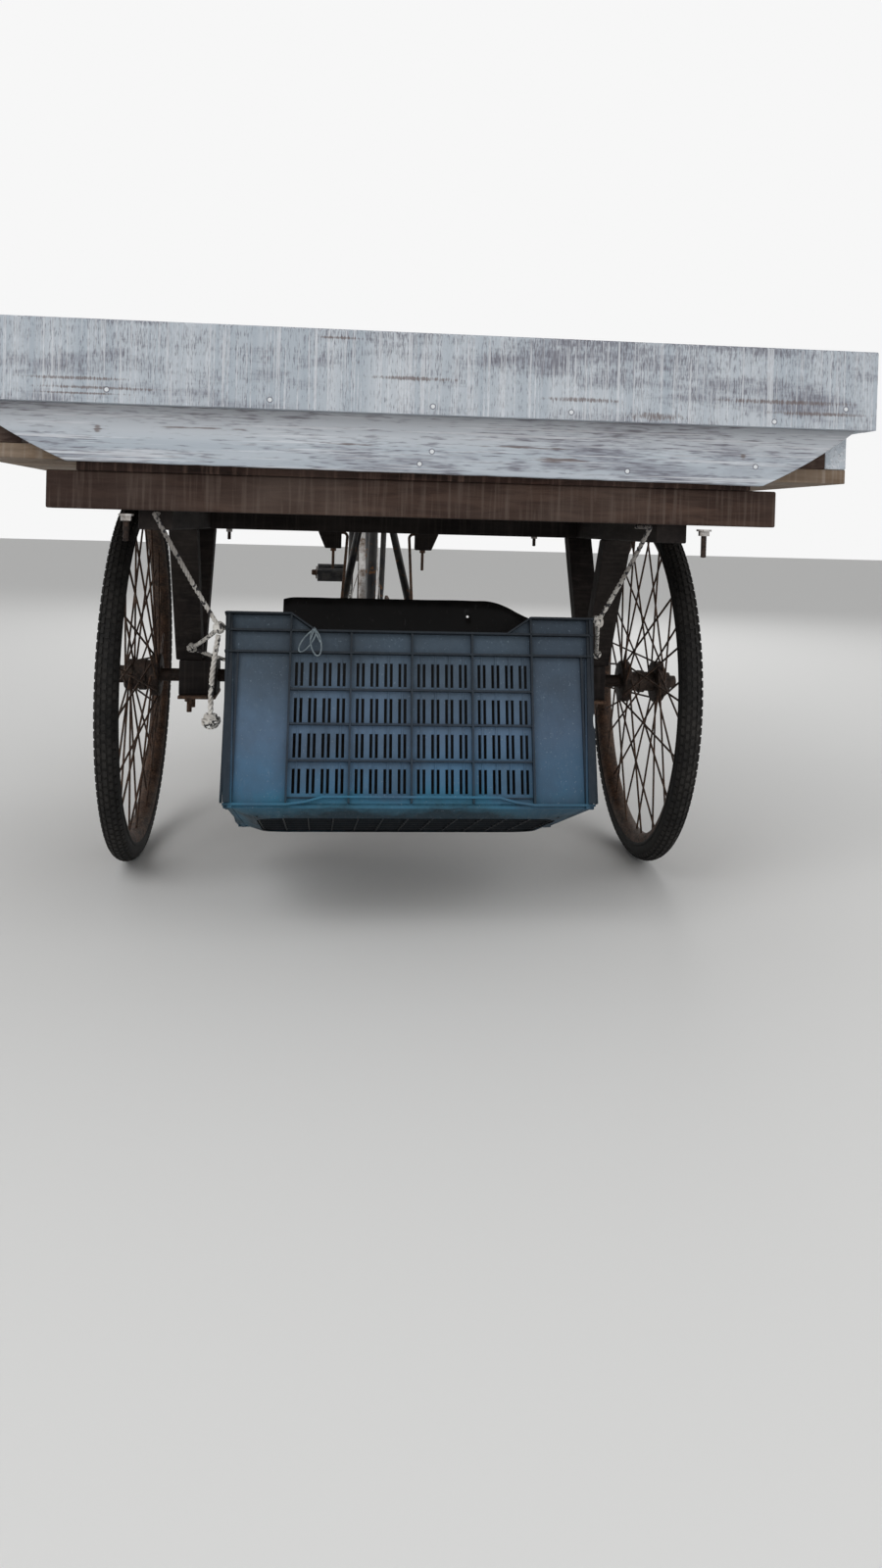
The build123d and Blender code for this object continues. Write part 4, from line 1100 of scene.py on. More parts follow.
def ribbedWall(heap, walls, side, half, cells, dipHalf):
    look = crateShape
    reach, thick, sink, wall = look["ribReach"], look["ribThick"], look["sink"], look["wall"]
    high, midTop = look["height"], look["height"] - look["dip"]
    rimReach = reach + look["rimOut"]
    edge = half + reach - sink
    cellEdge = cells * look["cellWidth"] / 2
    rise = dipHalf + look["dipRun"]

    def level(u0, u1, v, out):
        wallBar(heap, side, u0, u1, v - thick / 2, v + thick / 2, -sink, out)

    def upright(u, top, out):
        wallBar(heap, side, u - thick / 2, u + thick / 2, look["baseHigh"], top, -sink, out)

    for v in look["ribHeights"]:
        if v > midTop:
            level(-edge, -rise, v, rimReach)
            level(rise, edge, v, rimReach)
        else:
            level(-edge, edge, v, reach)
    for v in look["cellHeights"]:
        level(-cellEdge, cellEdge, v, reach * look["cellReach"])
    barLow, barHigh, barOut = look["lowBar"]
    wallBar(heap, side, -cellEdge, cellEdge, barLow, barHigh, -sink, barOut)
    wallBar(heap, side, -dipHalf, dipHalf, midTop - thick, midTop, -wall, rimReach)
    for sign in (-1, 1):
        for target, dipped, raised, out in (
            (heap, (midTop - thick, midTop), (high - thick, high), rimReach),
            (walls, (midTop - thick, midTop - thick / 2), (midTop - thick, high - thick), 0),
        ):
            (u0, first), (u1, last) = sorted([(sign * dipHalf, dipped), (sign * rise, raised)])
            wallBar(target, side, u0, u1, *first, -wall, out, *last)
        u0, u1 = sorted((sign * rise, sign * half))
        wallBar(walls, side, u0, u1, midTop - thick, high, -wall, 0)
        upright(sign * rise, high, reach)
        upright(sign * (half + reach - look["cornerPost"]), high, reach)
        upright(sign * (half - look["panelPost"]), look["ribHeights"][2], reach * look["panelReach"])
    for k in range(1, cells):
        upright(k * look["cellWidth"] - cellEdge, midTop - thick, reach * look["postReach"])


def roundCorner(x, y, cut):
    # a corner of a rectangle, rounded from its end to its side
    made = []
    steps = 4
    for k in range(steps + 1):
        a = math.pi / 2 * k / steps
        backX, backY = cut * (1 - math.sin(a)), cut * (1 - math.cos(a))
        made.append((x - math.copysign(backX, x), y - math.copysign(backY, y)))
    return made


skirtShape = {
    "flange": 0.0035,
    "flangeLow": 0.004,  # below the base
    "raised": {"near": 0.150, "far": 0.150, "right": 0.070, "left": 0.070},  # half length of the raised part
    "steps": ((-0.012, 0.0115), (0.015, 0.004), (0.045, 0)),  # place past the raised part's end, lift
    "rings": (
        # height, how far in, corner cut
        (0.0, 0.034, 0.045),
        (0.012, 0.006, 0.022),
        (0.0165, -0.0035, 0.014),
        (0.0200, -0.0035, 0.014),
    ),
    "inner": (0.985, 0.98),
}


def crateSkirt(heap):
    # the bottom edge: a flange that steps up in the middle of each side, over a skirt that slopes in
    look = skirtShape
    thick, base = look["flange"], crateShape["baseHigh"] - look["flangeLow"]
    for side, (half, _, _) in crateShape["sides"].items():
        steps = [(look["raised"][side] + past, lift) for past, lift in look["steps"]] + [(half, 0)]
        line = mirrored(steps) + steps
        for (u0, a), (u1, b) in zip(line, line[1:]):
            a, b = base + a, base + b
            wallBar(heap, side, u0, u1, a, a + thick, -0.002, crateShape["ribReach"] + 0.001, b, b + thick)
            wallBar(heap, side, u0, u1, base - 0.004, a, -0.004, thick, base - 0.004, b)
    rings = []
    for v, back, cut in look["rings"]:
        x, y = (size - back for size in crateHalf(v))
        outline = roundCorner(x, -y, cut) + roundCorner(x, y, cut)[::-1]
        outline += roundCorner(-x, y, cut) + roundCorner(-x, -y, cut)[::-1]
        rings.append([(px, py, v) for px, py in outline])
    shareX, shareY = look["inner"]
    inner = [[(x * shareX, y * shareY, z + 0.0004) for x, y, z in ring] for ring in rings]
    heap.loft(rings + inner[::-1], closed=True, place=cratePlace)


gridShape = {
    "plate": (0.0180, 0.0210),
    "barLow": 0.002,
    "barHigh": 0.0185,
    "barHalf": 0.0012,
    "barIn": 0.036,
    "bars": ((6, 0.040), (3, 0.044)),  # bars to each side of the middle one, pitch
}


def crateFloor(heap):
    look = gridShape
    low, high = look["plate"]
    halfX, halfY = crateHalf(crateShape["baseHigh"])
    heap.box((-halfX, -halfY, low), (halfX, halfY, high), cratePlace)
    half, barX, barY = look["barHalf"], halfX - look["barIn"], halfY - look["barIn"]
    (countX, pitchX), (countY, pitchY) = look["bars"]
    for x in (i * pitchX for i in range(-countX, countX + 1)):
        heap.box((x - half, -barY, look["barLow"]), (x + half, barY, look["barHigh"]), cratePlace)
    for y in (i * pitchY for i in range(-countY, countY + 1)):
        heap.box((-barX, y - half, look["barLow"]), (barX, y + half, look["barHigh"]), cratePlace)


def crateCorners(heap):
    # the ribs run on round the corners
    look = crateShape
    reach, inside = look["ribReach"] - 0.0005, 0.003
    for sx, sy in ((-1, -1), (-1, 1), (1, -1), (1, 1)):
        for v in look["ribHeights"]:
            halfX, halfY = crateHalf(v)
            x, y = sx * (halfX + reach), sy * (halfY + reach)
            backX, backY = sx * (halfX - inside), sy * (halfY - inside)
            outline = {*roundCorner(x, y, look["cornerCut"]), (backX, y), (backX, backY), (x, backY)}
            middle = (sx * (halfX - 0.001), sy * (halfY - 0.001))
            ordered = sorted(outline, key=lambda p: math.atan2(p[1] - middle[1], p[0] - middle[0]))
            half = look["ribThick"] / 2
            heap.loft([[(*p, v + lift) for p in ordered] for lift in (-half, half)], place=cratePlace)


def makeCrate():
    heap, ribs, base = Heap(), Heap(), Heap()
    for side, (half, cells, dipHalf) in crateShape["sides"].items():
        slottedWall(heap, side, half, cells)
        ribbedWall(ribs, heap, side, half, cells, dipHalf)
    crateSkirt(heap)
    crateFloor(base)
    crateCorners(ribs)
    heap.make("crate_moulded", "crate_plastic", bodyOf["crate"], "crate_plastic", ["crate"], smoothDeg=30)
    ribs.make("crate_ribs", "crate_rib", bodyOf["crate"], "crate_plastic", smoothDeg=30)
    base.make("crate_base_grid", "crate_base", bodyOf["crate"], "crate_plastic", smoothDeg=30)


makeCrate()
print("crate made")

# Rope: three strands laid round a route
ropeLook = {
    "radius": 0.0045,
    "layLength": 0.026,
    "strands": 3,
    "strandOut": 0.50,  # shares of the radius
    "strandRadius": 0.52,
    "tightShare": 0.86,
    "knotSize": 0.011,
    "footSize": 0.010,
    "gap": 0.0003,
    "lashings": (
        # side, top x, top y, how far the near knot has slipped
        (-1, -0.400, -0.548, 0.022),
        (1, 0.361, -0.548, 0.0),
    ),
    "knotAlong": 0.182,
    "knotDrop": 0.0015,
    "strutFoot": -0.040,  # from the axle
    "strutLean": 0.150,
    "footIn": 0.008,
    "footUp": 0.040,
}


def evenly(points, step):
    # the same line with points about step apart
    points = [Vector(p) for p in points]
    made = [points[0]]
    for a, b in zip(points, points[1:]):
        count = max(1, round((b - a).length / step))
        made += [a.lerp(b, (k + 1) / count) for k in range(count)]
    return made


def strands(heap, points, radius, turn=0.0):
    look = ropeLook
    path = evenly(points, radius * 0.7)
    side = None
    count = look["strands"]
    lines = [[] for _ in range(count)]
    run = 0.0
    for i, point in enumerate(path):
        ahead = (path[min(i + 1, len(path) - 1)] - path[max(i - 1, 0)]).normalized()
        if side is None:
            side = ahead.orthogonal().normalized()
        side = (side - ahead * side.dot(ahead)).normalized()
        across = ahead.cross(side)
        if i:
            run += (point - path[i - 1]).length
        for k in range(count):
            a = turn + 2 * math.pi * (run / look["layLength"] + k / count)
            lines[k].append(point + (side * math.cos(a) + across * math.sin(a)) * radius * look["strandOut"])
    for line in lines:
        heap.tube(line, radius * look["strandRadius"], 7)


def anyWay(pick, x, y, z):
    # a random vector no longer than this across, along and up
    return Vector((pick.uniform(-x, x), pick.uniform(-y, y), pick.uniform(-z, z)))


def knotted(heap, center, size, seed, wraps=5, radius=0.0036):
    # a tight knot: short loops in several planes round one middle
    pick = random.Random(seed)
    center = Vector(center)
    reach, steps = size - radius, 22
    for n in range(wraps):
        angle = pick.uniform(0, math.pi)
        tilt = Matrix.Rotation(angle, 3, anyWay(pick, 1, 1, 1))
        loop = []
        for k in range(steps):
            a = 2 * math.pi * k / steps
            around = (reach * math.cos(a), reach * 0.8 * math.sin(a), reach * 0.25 * math.sin(2 * a + n))
            loop.append(center + tilt @ Vector(around))
        heap.tube(loop, radius, 7, closed=True)


def frayed(heap, center, down, seed, count, length):
    # fine ends that hang from a cut rope
    pick = random.Random(seed)
    center = Vector(center)
    for _ in range(count):
        lean = anyWay(pick, 0.6, 0.4, 0.5)
        tip = center + (Vector(down) + lean) * length * pick.uniform(0.6, 1.0)
        middle = center.lerp(tip, 0.5) + Vector((pick.uniform(-1, 1), pick.uniform(-1, 1), 0)) * 0.002
        heap.tube([center, middle, tip], [0.0011, 0.0009, 0.0005], 5)


def inCrate(x, along, height):
    return cratePlace @ Vector((x, along, height))


def bowed(start, end, sag, sway=0.0):
    # a line that hangs a little, and leans sideways
    start, end = Vector(start), Vector(end)
    line = []
    steps = 9
    for k in range(steps + 1):
        t = k / steps
        dip = 4 * t * (1 - t)
        line.append(start.lerp(end, t) + Vector((sway * dip, 0, -sag * dip)))
    return line


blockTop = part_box("axle_blocks")[1][2]
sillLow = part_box("sills")[0][2]
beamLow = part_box("tail_beam")[0][2]
strutX = nodeCenter("struts").x + (Vector(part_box("struts")[1]).x - 0.025)


def knotPlace(side, along, slip):
    look = ropeLook
    height = crateShape["height"] - look["knotDrop"] - slip
    out = crateHalf(height)[0] + crateShape["ribReach"] + look["knotSize"] + look["gap"]
    return inCrate(side * out, along, height)


def lashingPoints(side, slip):
    look = ropeLook
    knot = knotPlace(side, -look["knotAlong"], slip)
    farKnot = knotPlace(side, look["knotAlong"], 0)
    run = Vector((0, -look["strutLean"], sillLow - blockTop)).normalized()
    out = Vector((0, -run.z, run.y))
    reach = look["footSize"] * (abs(out.y) + abs(out.z)) + look["gap"]
    strut = Vector((side * (strutX - look["footIn"]), axleY + look["strutFoot"], blockTop))
    return knot, farKnot, strut + run * look["footUp"] + out * reach


def makeLashings():
    look = ropeLook
    heap = Heap()
    radius = look["radius"] * look["tightShare"]
    for side, topX, topY, slip in look["lashings"]:
        knot, farKnot, foot = lashingPoints(side, slip)
        top = Vector((topX, axleY + topY, beamLow - look["radius"]))
        behind = top + Vector((-0.006 * side, 0.060, 0.0005))
        strands(heap, [behind, *bowed(top, knot, 0.0, 0.002 * side)], radius)
        strands(heap, bowed(knot, foot, 0.002), radius, 1.0)
        strands(heap, bowed(farKnot, foot, 0.002), radius, 2.0)
        knots = ((knot, look["knotSize"]), (farKnot, look["knotSize"]), (foot, look["footSize"]))
        for n, (center, size) in enumerate(knots):
            knotted(heap, center, size, seed=7 + n + side * 3)
    heap.make("lashings_laid", "rope_fibre", bodyOf["lashings"], "rope_fibre", ["lashings"], smoothDeg=60)


def makeRopeTail():
    knot = knotPlace(-1, -ropeLook["knotAlong"], ropeLook["lashings"][0][3])
    route = [
        knot + Vector((-0.001, -0.001, -0.0118)),
        knot + Vector((-0.007, -0.004, -0.052)),
        knot + Vector((-0.011, -0.005, -0.102)),
        knot + Vector((-0.010, -0.005, -0.152)),
    ]
    curve = bpy.data.curves.new("rope_route", "CURVE")
    curve.dimensions = "3D"
    curve.resolution_u = 24
    spline = curve.splines.new("NURBS")
    spline.points.add(len(route) - 1)
    for point, place in zip(spline.points, route):
        point.co = (*place, 1)
    spline.order_u = 3
    spline.use_endpoint_u = True
    guide = bpy.data.objects.new("rope_route", curve)
    line = bpy.data.meshes.new_from_object(guide)
    path = [v.co.copy() for v in line.vertices]
    bpy.data.objects.remove(guide)
    heap = Heap()
    strands(heap, path, ropeLook["radius"])
    body = bodyOf["rope_tail"]
    tail = heap.make("rope_tail_laid", "rope_fibre", body, "rope_fibre", ["rope_tail"], smoothDeg=60)
    end = path[-1]
    knotHeap = Heap()
    knotted(knotHeap, end + Vector((0, 0, 0.008)), 0.0115, seed=31, wraps=5, radius=0.0030)
    knotted(knotHeap, end + Vector((0.001, 0, 0.002)), 0.0155, seed=12, wraps=7, radius=0.0013)
    frayed(knotHeap, end + Vector((0, 0, 0.001)), (0, 0, -0.2), seed=5, count=12, length=0.016)
    knotPiece = knotHeap.make("rope_tail_knot", "rope_fibre", body, "rope_fibre", smoothDeg=60)


makeLashings()
makeRopeTail()
print("ropes made")

# Liner: a stiff black sheet bent round the crate's far and right walls, with a round hole near its edge
linerShape = {
    "farAlong": 0.1700,
    "sideX": 0.2695,
    "bend": 0.044,
    "low": 0.0220,
    "nearStop": -0.058,
    "leftStop": -0.219,
    "high": 0.4465,
    "shoulder": 0.4050,
    "shoulderFrom": 0.165,
    "shoulderTo": 0.264,
    "shoulderTurn": 1.35,  # radians of the curve that leads down to it
    "leftFrom": -0.200,
    "leftRun": 0.085,
    "leftFall": 0.117,
    "sideLow": (0.285, -0.210),  # height, along
    "steps": (60, 10, 16),  # along the far wall, round the bend, along the side wall
    "rows": 26,
    "swell": 0.0012,
    "ripple": 0.0010,
    "thick": 0.0016,
    "hole": (0.137, 0.409, 0.0027),  # across, up, radius
}


def linerTop(x, y):
    # level at first, then round to the shoulder at the right corner, and down along the side wall
    look = linerShape
    bendStart = look["farAlong"] - look["bend"]
    if y < bendStart:
        low, stop = look["sideLow"]
        return low + (look["shoulder"] - low) * (y - stop) / (bendStart + 0.004 - stop)
    if x > look["shoulderFrom"]:
        t = min(1, (x - look["shoulderFrom"]) / (look["shoulderTo"] - look["shoulderFrom"]))
        fall, turn = look["high"] - look["shoulder"], look["shoulderTurn"]
        return look["high"] - fall * (1 - math.cos(t * turn)) / (1 - math.cos(turn))
    if x < look["leftFrom"]:
        t = (look["leftFrom"] - x) / look["leftRun"]
        return look["high"] - look["leftFall"] * (1 - math.sqrt(max(0, 1 - t * t)))
    return look["high"]


def linerPath():
    # along the far wall, round the corner and back along the right wall
    look = linerShape
    x, y, bend, left = look["sideX"], look["farAlong"], look["bend"], look["leftStop"]
    farSteps, bendSteps, sideSteps = look["steps"]
    path = [(left - 0.004, y)]
    path += [(left + (x - bend - left) * k / farSteps, y) for k in range(farSteps + 1)]
    for k in range(1, bendSteps + 1):
        a = math.pi / 2 * k / bendSteps
        path.append((x - bend + bend * math.sin(a), y - bend + bend * math.cos(a)))
    path += [(x, y - bend - (y - bend - look["nearStop"]) * k / sideSteps) for k in range(1, sideSteps + 1)]
    return path


def makeLiner():
    look = linerShape
    low, rows = look["low"], look["rows"]
    path = linerPath()
    points = []
    for x, y in path:
        top = linerTop(x, y)
        for row in range(rows + 1):
            t = row / rows
            wave = look["swell"] * math.sin(x * 21 + t * 3) * t + look["ripple"] * math.sin(x * 47 + y * 33)
            inward = 0 if y == look["farAlong"] else max(wave, 0)
            points.append((x - inward, y - abs(wave), low + (top - low) * t))
    holeX, holeHigh, holeRadius = look["hole"]
    farWall = [i for i in range(1, len(path) - 1) if path[i][1] == look["farAlong"]]
    column = min(farWall, key=lambda i: abs(path[i][0] - holeX))
    row = round((holeHigh - low) / (linerTop(*path[column]) - low) * rows)
    faces = []
    for i in range(len(path) - 1):
        for j in range(rows):
            a = i * (rows + 1) + j
            if i not in (column - 1, column) or j not in (row - 1, row):
                faces.append((a, a + 1, a + rows + 2, a + rows + 1))
    # the four squares round the hole become a ring
    middle = points[column * (rows + 1) + row]
    steps = ((-1, -1), (-1, 0), (-1, 1), (0, 1), (1, 1), (1, 0), (1, -1), (0, -1))
    rim = [(column + di) * (rows + 1) + row + dj for di, dj in steps]
    first = len(points)
    for di, dj in steps:
        out = holeRadius / math.hypot(di, dj)
        points.append((middle[0] + di * out, middle[1], middle[2] + dj * out))
    count = len(steps)
    for k in range(count):
        after = (k + 1) % count
        faces.append((rim[k], rim[after], first + after, first + k))
    heap = Heap()
    heap.add(points, faces, cratePlace)
    body = bodyOf["crate_liner"]
    piece = heap.make(
        "crate_liner_sheet", "liner_plastic", body, "liner_plastic", ["crate_liner"], smoothDeg=0,
    )
    piece.data.polygons.foreach_set("use_smooth", [True] * len(piece.data.polygons))
    thick = piece.modifiers.new("sheet", "SOLIDIFY")
    thick.thickness = look["thick"]
    thick.offset = 0


makeLiner()
print("liner made")

# Drive: ring and sprocket with teeth, half-inch chain, cottered cranks and rubber pedals
driveShape = {
    "bracket": (0.0, axleY + 1.385, 0.335),
    "link": 0.0127,
    "ringTeeth": 48,
    "sprocketTeeth": 22,
    "chainX": 0.050,
    "plateHalf": 0.0039,
    "plateThick": 0.0010,
    "plateOut": (0.0016, 0.0027),  # inner links, outer links
    "pin": (0.0039, 0.0017),
    "roller": (0.0015, 0.0038),
    "tooth": (
        # share of the pitch, lift
        (-0.42, -0.0030),
        (-0.20, -0.0006),
        (-0.09, 0.0030),
        (0.09, 0.0030),
        (0.20, -0.0006),
        (0.42, -0.0030),
    ),
    "toothHalf": 0.0011,
    "sprocketBore": 0.0131,
    "ringInner": 0.0785,
    "ringArms": 5,
    "ringArm": ((0.022, 0.0080), (0.050, 0.0052), (0.081, 0.0075)),  # out from the middle, half width
    "ringArmHalf": 0.0018,
    "crankLength": 0.170,
    "armInner": 0.062,
    "armThick": 0.012,
    "boss": (0.0155, 0.0168),  # radius at the face, and behind the broken edge
    "eye": (0.0105, 0.0116),
    "cotter": ((-0.0165, 0), (-0.0165, 0.0040), (0.0165, 0.0046), (0.0165, 0)),
    "cotterUp": 0.0115,
    "armSections": (
        # share of the length, half width, how far in
        (0.04, 0.0135, 0.0005),
        (0.25, 0.0105, 0.0015),
        (0.8, 0.0082, 0.0015),
        (0.96, 0.0095, 0.0005),
    ),
    "pedalHalf": 0.047,
    "pedalGap": 0.009,
    "pedalNut": 0.013,
    "pedalRow": 0.025,
    "pedalBlock": (0.0138, 0.0188),
    "pedalRidges": 22,
    "ridgeDeep": 0.0011,
    "pedalSpindle": 0.0062,
    "pedalPlate": ((0, 0.0125), (0.012, 0.0095), (0.030, 0.012), (0.037, 0.009)),
    "pedalTilts": ((-1, 1, 14), (1, -1, 0)),
}
bracket = Vector(driveShape["bracket"])
axle = Vector((0, axleY, tyreRadius))
ringPitch = driveShape["link"] / 2 / math.sin(math.pi / driveShape["ringTeeth"])
sprocketPitch = driveShape["link"] / 2 / math.sin(math.pi / driveShape["sprocketTeeth"])


def flatRing(heap, outer, inner, x0, x1):
    count = len(outer)
    edges = ((x0, outer), (x1, outer), (x1, inner), (x0, inner))
    rings = [[(x, y, z) for y, z in line] for x, line in edges]
    faces = []
    for r in range(4):
        here, there = r * count, (r + 1) % 4 * count
        for k in range(count):
            after = (k + 1) % count
            faces.append((here + k, here + after, there + after, there + k))
    heap.add([p for ring in rings for p in ring], faces)


def toothed(center, teeth, pitch, phase):
    outline = []
    for n in range(teeth):
        for share, lift in driveShape["tooth"]:
            a = phase + 2 * math.pi * (n + share) / teeth
            radius = pitch + lift
            outline.append((center.y + radius * math.cos(a), center.z + radius * math.sin(a)))
    return outline


def toothPhase(pins, center, nearPoint, teeth):
    # turns a toothed wheel so that its teeth stand between the chain's pins
    near = min(pins, key=lambda p: math.dist(p, nearPoint))
    return math.atan2(near[1] - center.z, near[0] - center.y) + math.pi / teeth


def circleLike(center, outline, radius):
    made = []
    for y, z in outline:
        a = math.atan2(z - center.z, y - center.y)
        made.append((center.y + radius * math.cos(a), center.z + radius * math.sin(a)))
    return made


def arcRound(center, radius, first, sweep):
    steps = 120
    angles = (first - sweep * k / steps for k in range(steps + 1))
    return [(center.y + radius * math.cos(a), center.z + radius * math.sin(a)) for a in angles]


def chainRoute():
    # round the ring, along the bottom run, round the sprocket and back along the top
    gap = bracket - axle
    base = math.atan2(gap.z, gap.y)
    lean = math.acos((ringPitch - sprocketPitch) / math.hypot(gap.y, gap.z))
    upper, lower = base + math.pi - lean, base - math.pi + lean
    line = arcRound(bracket, ringPitch, upper, upper - lower)
    line += arcRound(axle, sprocketPitch, lower, 2 * math.pi - (upper - lower))
    line.append(line[0])
    return line


def chainPins():
    line = chainRoute()
    total = sum(math.dist(a, b) for a, b in zip(line, line[1:]))
    links = 2 * round(total / driveShape["link"] / 2)
    step = total / links
    pins = []
    walked, target = 0.0, 0.0
    for a, b in zip(line, line[1:]):
        span = math.dist(a, b)
        while target <= walked + span and len(pins) < links:
            t = (target - walked) / span
            pins.append((a[0] + (b[0] - a[0]) * t, a[1] + (b[1] - a[1]) * t))
            target += step
        walked += span
    return pins, step


def makeChain(pins, step):
    look = driveShape
    heap = Heap()
    half, thick, reach = look["plateHalf"], look["plateThick"], step / 2
    angles = (math.pi * (-0.4 + 0.2 * k) for k in range(5))
    end = [(reach + half * math.cos(a), half * math.sin(a)) for a in angles]
    waist = half * 0.72
    outline = end + [(0, waist)] + [(-y, z) for y, z in end[::-1]] + [(0, -waist)]
    pinHalf, pinRadius = look["pin"]
    rollerHalf, rollerRadius = look["roller"]
    for n, start in enumerate(pins):
        after = pins[(n + 1) % len(pins)]
        middle = Vector((0, (start[0] + after[0]) / 2, (start[1] + after[1]) / 2))
        turn = math.atan2(after[1] - start[1], after[0] - start[0])
        place = Matrix.Translation(middle) @ Matrix.Rotation(turn, 4, "X")
        for side in (-1, 1):
            x = look["chainX"] + side * (look["plateOut"][n % 2] + thick / 2)
            heap.prism(outline, x - thick / 2, x + thick / 2, place)
        pin = Matrix.Translation((look["chainX"], *start))
        heap.lathe([(-pinHalf, 0), (-pinHalf, pinRadius), (pinHalf, pinRadius), (pinHalf, 0)], 8, pin)
        heap.lathe([(-rollerHalf, rollerRadius), (rollerHalf, rollerRadius)], 10, pin)
    heap.make("chain_links", "rusty_steel", bodyOf["chain"], "rusty_steel", ["chain"], smoothDeg=35)


def makeSprocket(pins):
    look = driveShape
    heap = Heap()
    x, teeth = look["chainX"], look["sprocketTeeth"]
    phase = toothPhase(pins, axle, (axle.y - sprocketPitch, axle.z), teeth)
    outline = toothed(axle, teeth, sprocketPitch, phase)
    thin, bore = look["toothHalf"], look["sprocketBore"]
    flatRing(heap, outline, circleLike(axle, outline, bore + 0.0001), x - thin, x + thin)
    body = [(x - 0.004, bore), (x - 0.004, 0.031), (x - 0.0025, 0.033), (x + 0.0015, 0.033)]
    body += [(x + 0.003, 0.027), (x + 0.010, 0.027), (x + 0.012, 0.025), (x + 0.012, bore)]
    heap.lathe(body, 48, Matrix.Translation(axle), closed=True)
    heap.make(
        "sprocket_toothed", "greasy_steel", bodyOf["sprocket"], "rusty_steel", ["sprocket"], smoothDeg=30,
    )


def chainRing(heap, pins):
    look = driveShape
    x, teeth = look["chainX"], look["ringTeeth"]
    phase = toothPhase(pins, bracket, (bracket.y + ringPitch, bracket.z), teeth)
    outline = toothed(bracket, teeth, ringPitch, phase)
    thin, armHalf = look["toothHalf"] + 0.0001, look["ringArmHalf"]
    flatRing(heap, outline, circleLike(bracket, outline, look["ringInner"]), x - thin, x + thin)
    hub = [(x - 0.003, 0.010), (x - 0.003, 0.027), (x - 0.0015, 0.029), (x + 0.0015, 0.029)]
    hub += [(x + 0.004, 0.020), (x + 0.012, 0.017), (x + 0.012, 0.010)]
    place = Matrix.Translation(bracket)
    heap.lathe(hub, 48, place, closed=True)
    arm = [(out, -wide) for out, wide in look["ringArm"]] + list(look["ringArm"][::-1])
    for n in range(look["ringArms"]):
        turn = place @ Matrix.Rotation(math.radians(18) + 2 * math.pi * n / look["ringArms"], 4, "X")
        heap.prism(arm, x - armHalf, x + armHalf, turn)


def crankBoss(heap, x0, x1, size, count, place):
    # a short round boss with slightly broken edges
    edge, radius = size
    soft = 0.001
    profile = [(x0, 0.0), (x0, edge), (x0 + soft, radius), (x1 - soft, radius), (x1, edge), (x1, 0.0)]
    heap.lathe(profile, count, place)


def crankArm(heap, x0, x1, lift, place):
    # a tapering arm with chamfered edges, from the spindle to the pedal
    rings = []
    chamfer = 0.002
    for share, wide, inset in driveShape["armSections"]:
        z = lift * driveShape["crankLength"] * share
        a, b = x0 + inset, x1 - inset
        section = [(a, -0.8), (a, 0.8), (a + chamfer, 1), (b - chamfer, 1)]
        section += [(b, 0.8), (b, -0.8), (b - chamfer, -1), (a + chamfer, -1)]
        rings.append([(x, y * wide, z) for x, y in section])
    heap.loft(rings, place=place)


def makeCranks(pins):
    look = driveShape
    heap = Heap()
    chainRing(heap, pins)
    place = Matrix.Translation(bracket)
    inner, thick = look["armInner"], look["armThick"]
    heap.lathe([(-inner, 0.0098), (inner, 0.0098)], 32, place)
    for side, lift in ((-1, 1), (1, -1)):
        x0, x1 = sorted((side * inner, side * (inner + thick)))
        crankBoss(heap, x0, x1, look["boss"], 40, place)
        crankBoss(heap, x0, x1, look["eye"], 36, place @ moved(0, 0, lift * look["crankLength"]))
        crankArm(heap, x0, x1, lift, place)
        cotter = place @ moved((x0 + x1) / 2, look["cotterUp"], 0) @ Matrix.Rotation(math.pi / 2, 4, "Y")
        heap.lathe(look["cotter"], 16, cotter)
    heap.make(
        "crank_set_toothed", "old_chrome", bodyOf["crank_set"], "old_chrome", ["crank_set"], smoothDeg=30,
    )


def ridgedBlock():
    # the section of a pedal rubber: a soft square with ridges along its faces
    deep, high = driveShape["pedalBlock"]
    steps = 2 * driveShape["pedalRidges"]
    outline = []
    for k in range(steps):
        a = 2 * math.pi * k / steps
        bulge = (math.cos(a) ** 8 + math.sin(a) ** 8) ** -0.125
        cut = driveShape["ridgeDeep"] if k % 2 else 0.0
        outline.append(((deep - cut) * bulge * math.cos(a), (high - cut) * bulge * math.sin(a)))
    return outline


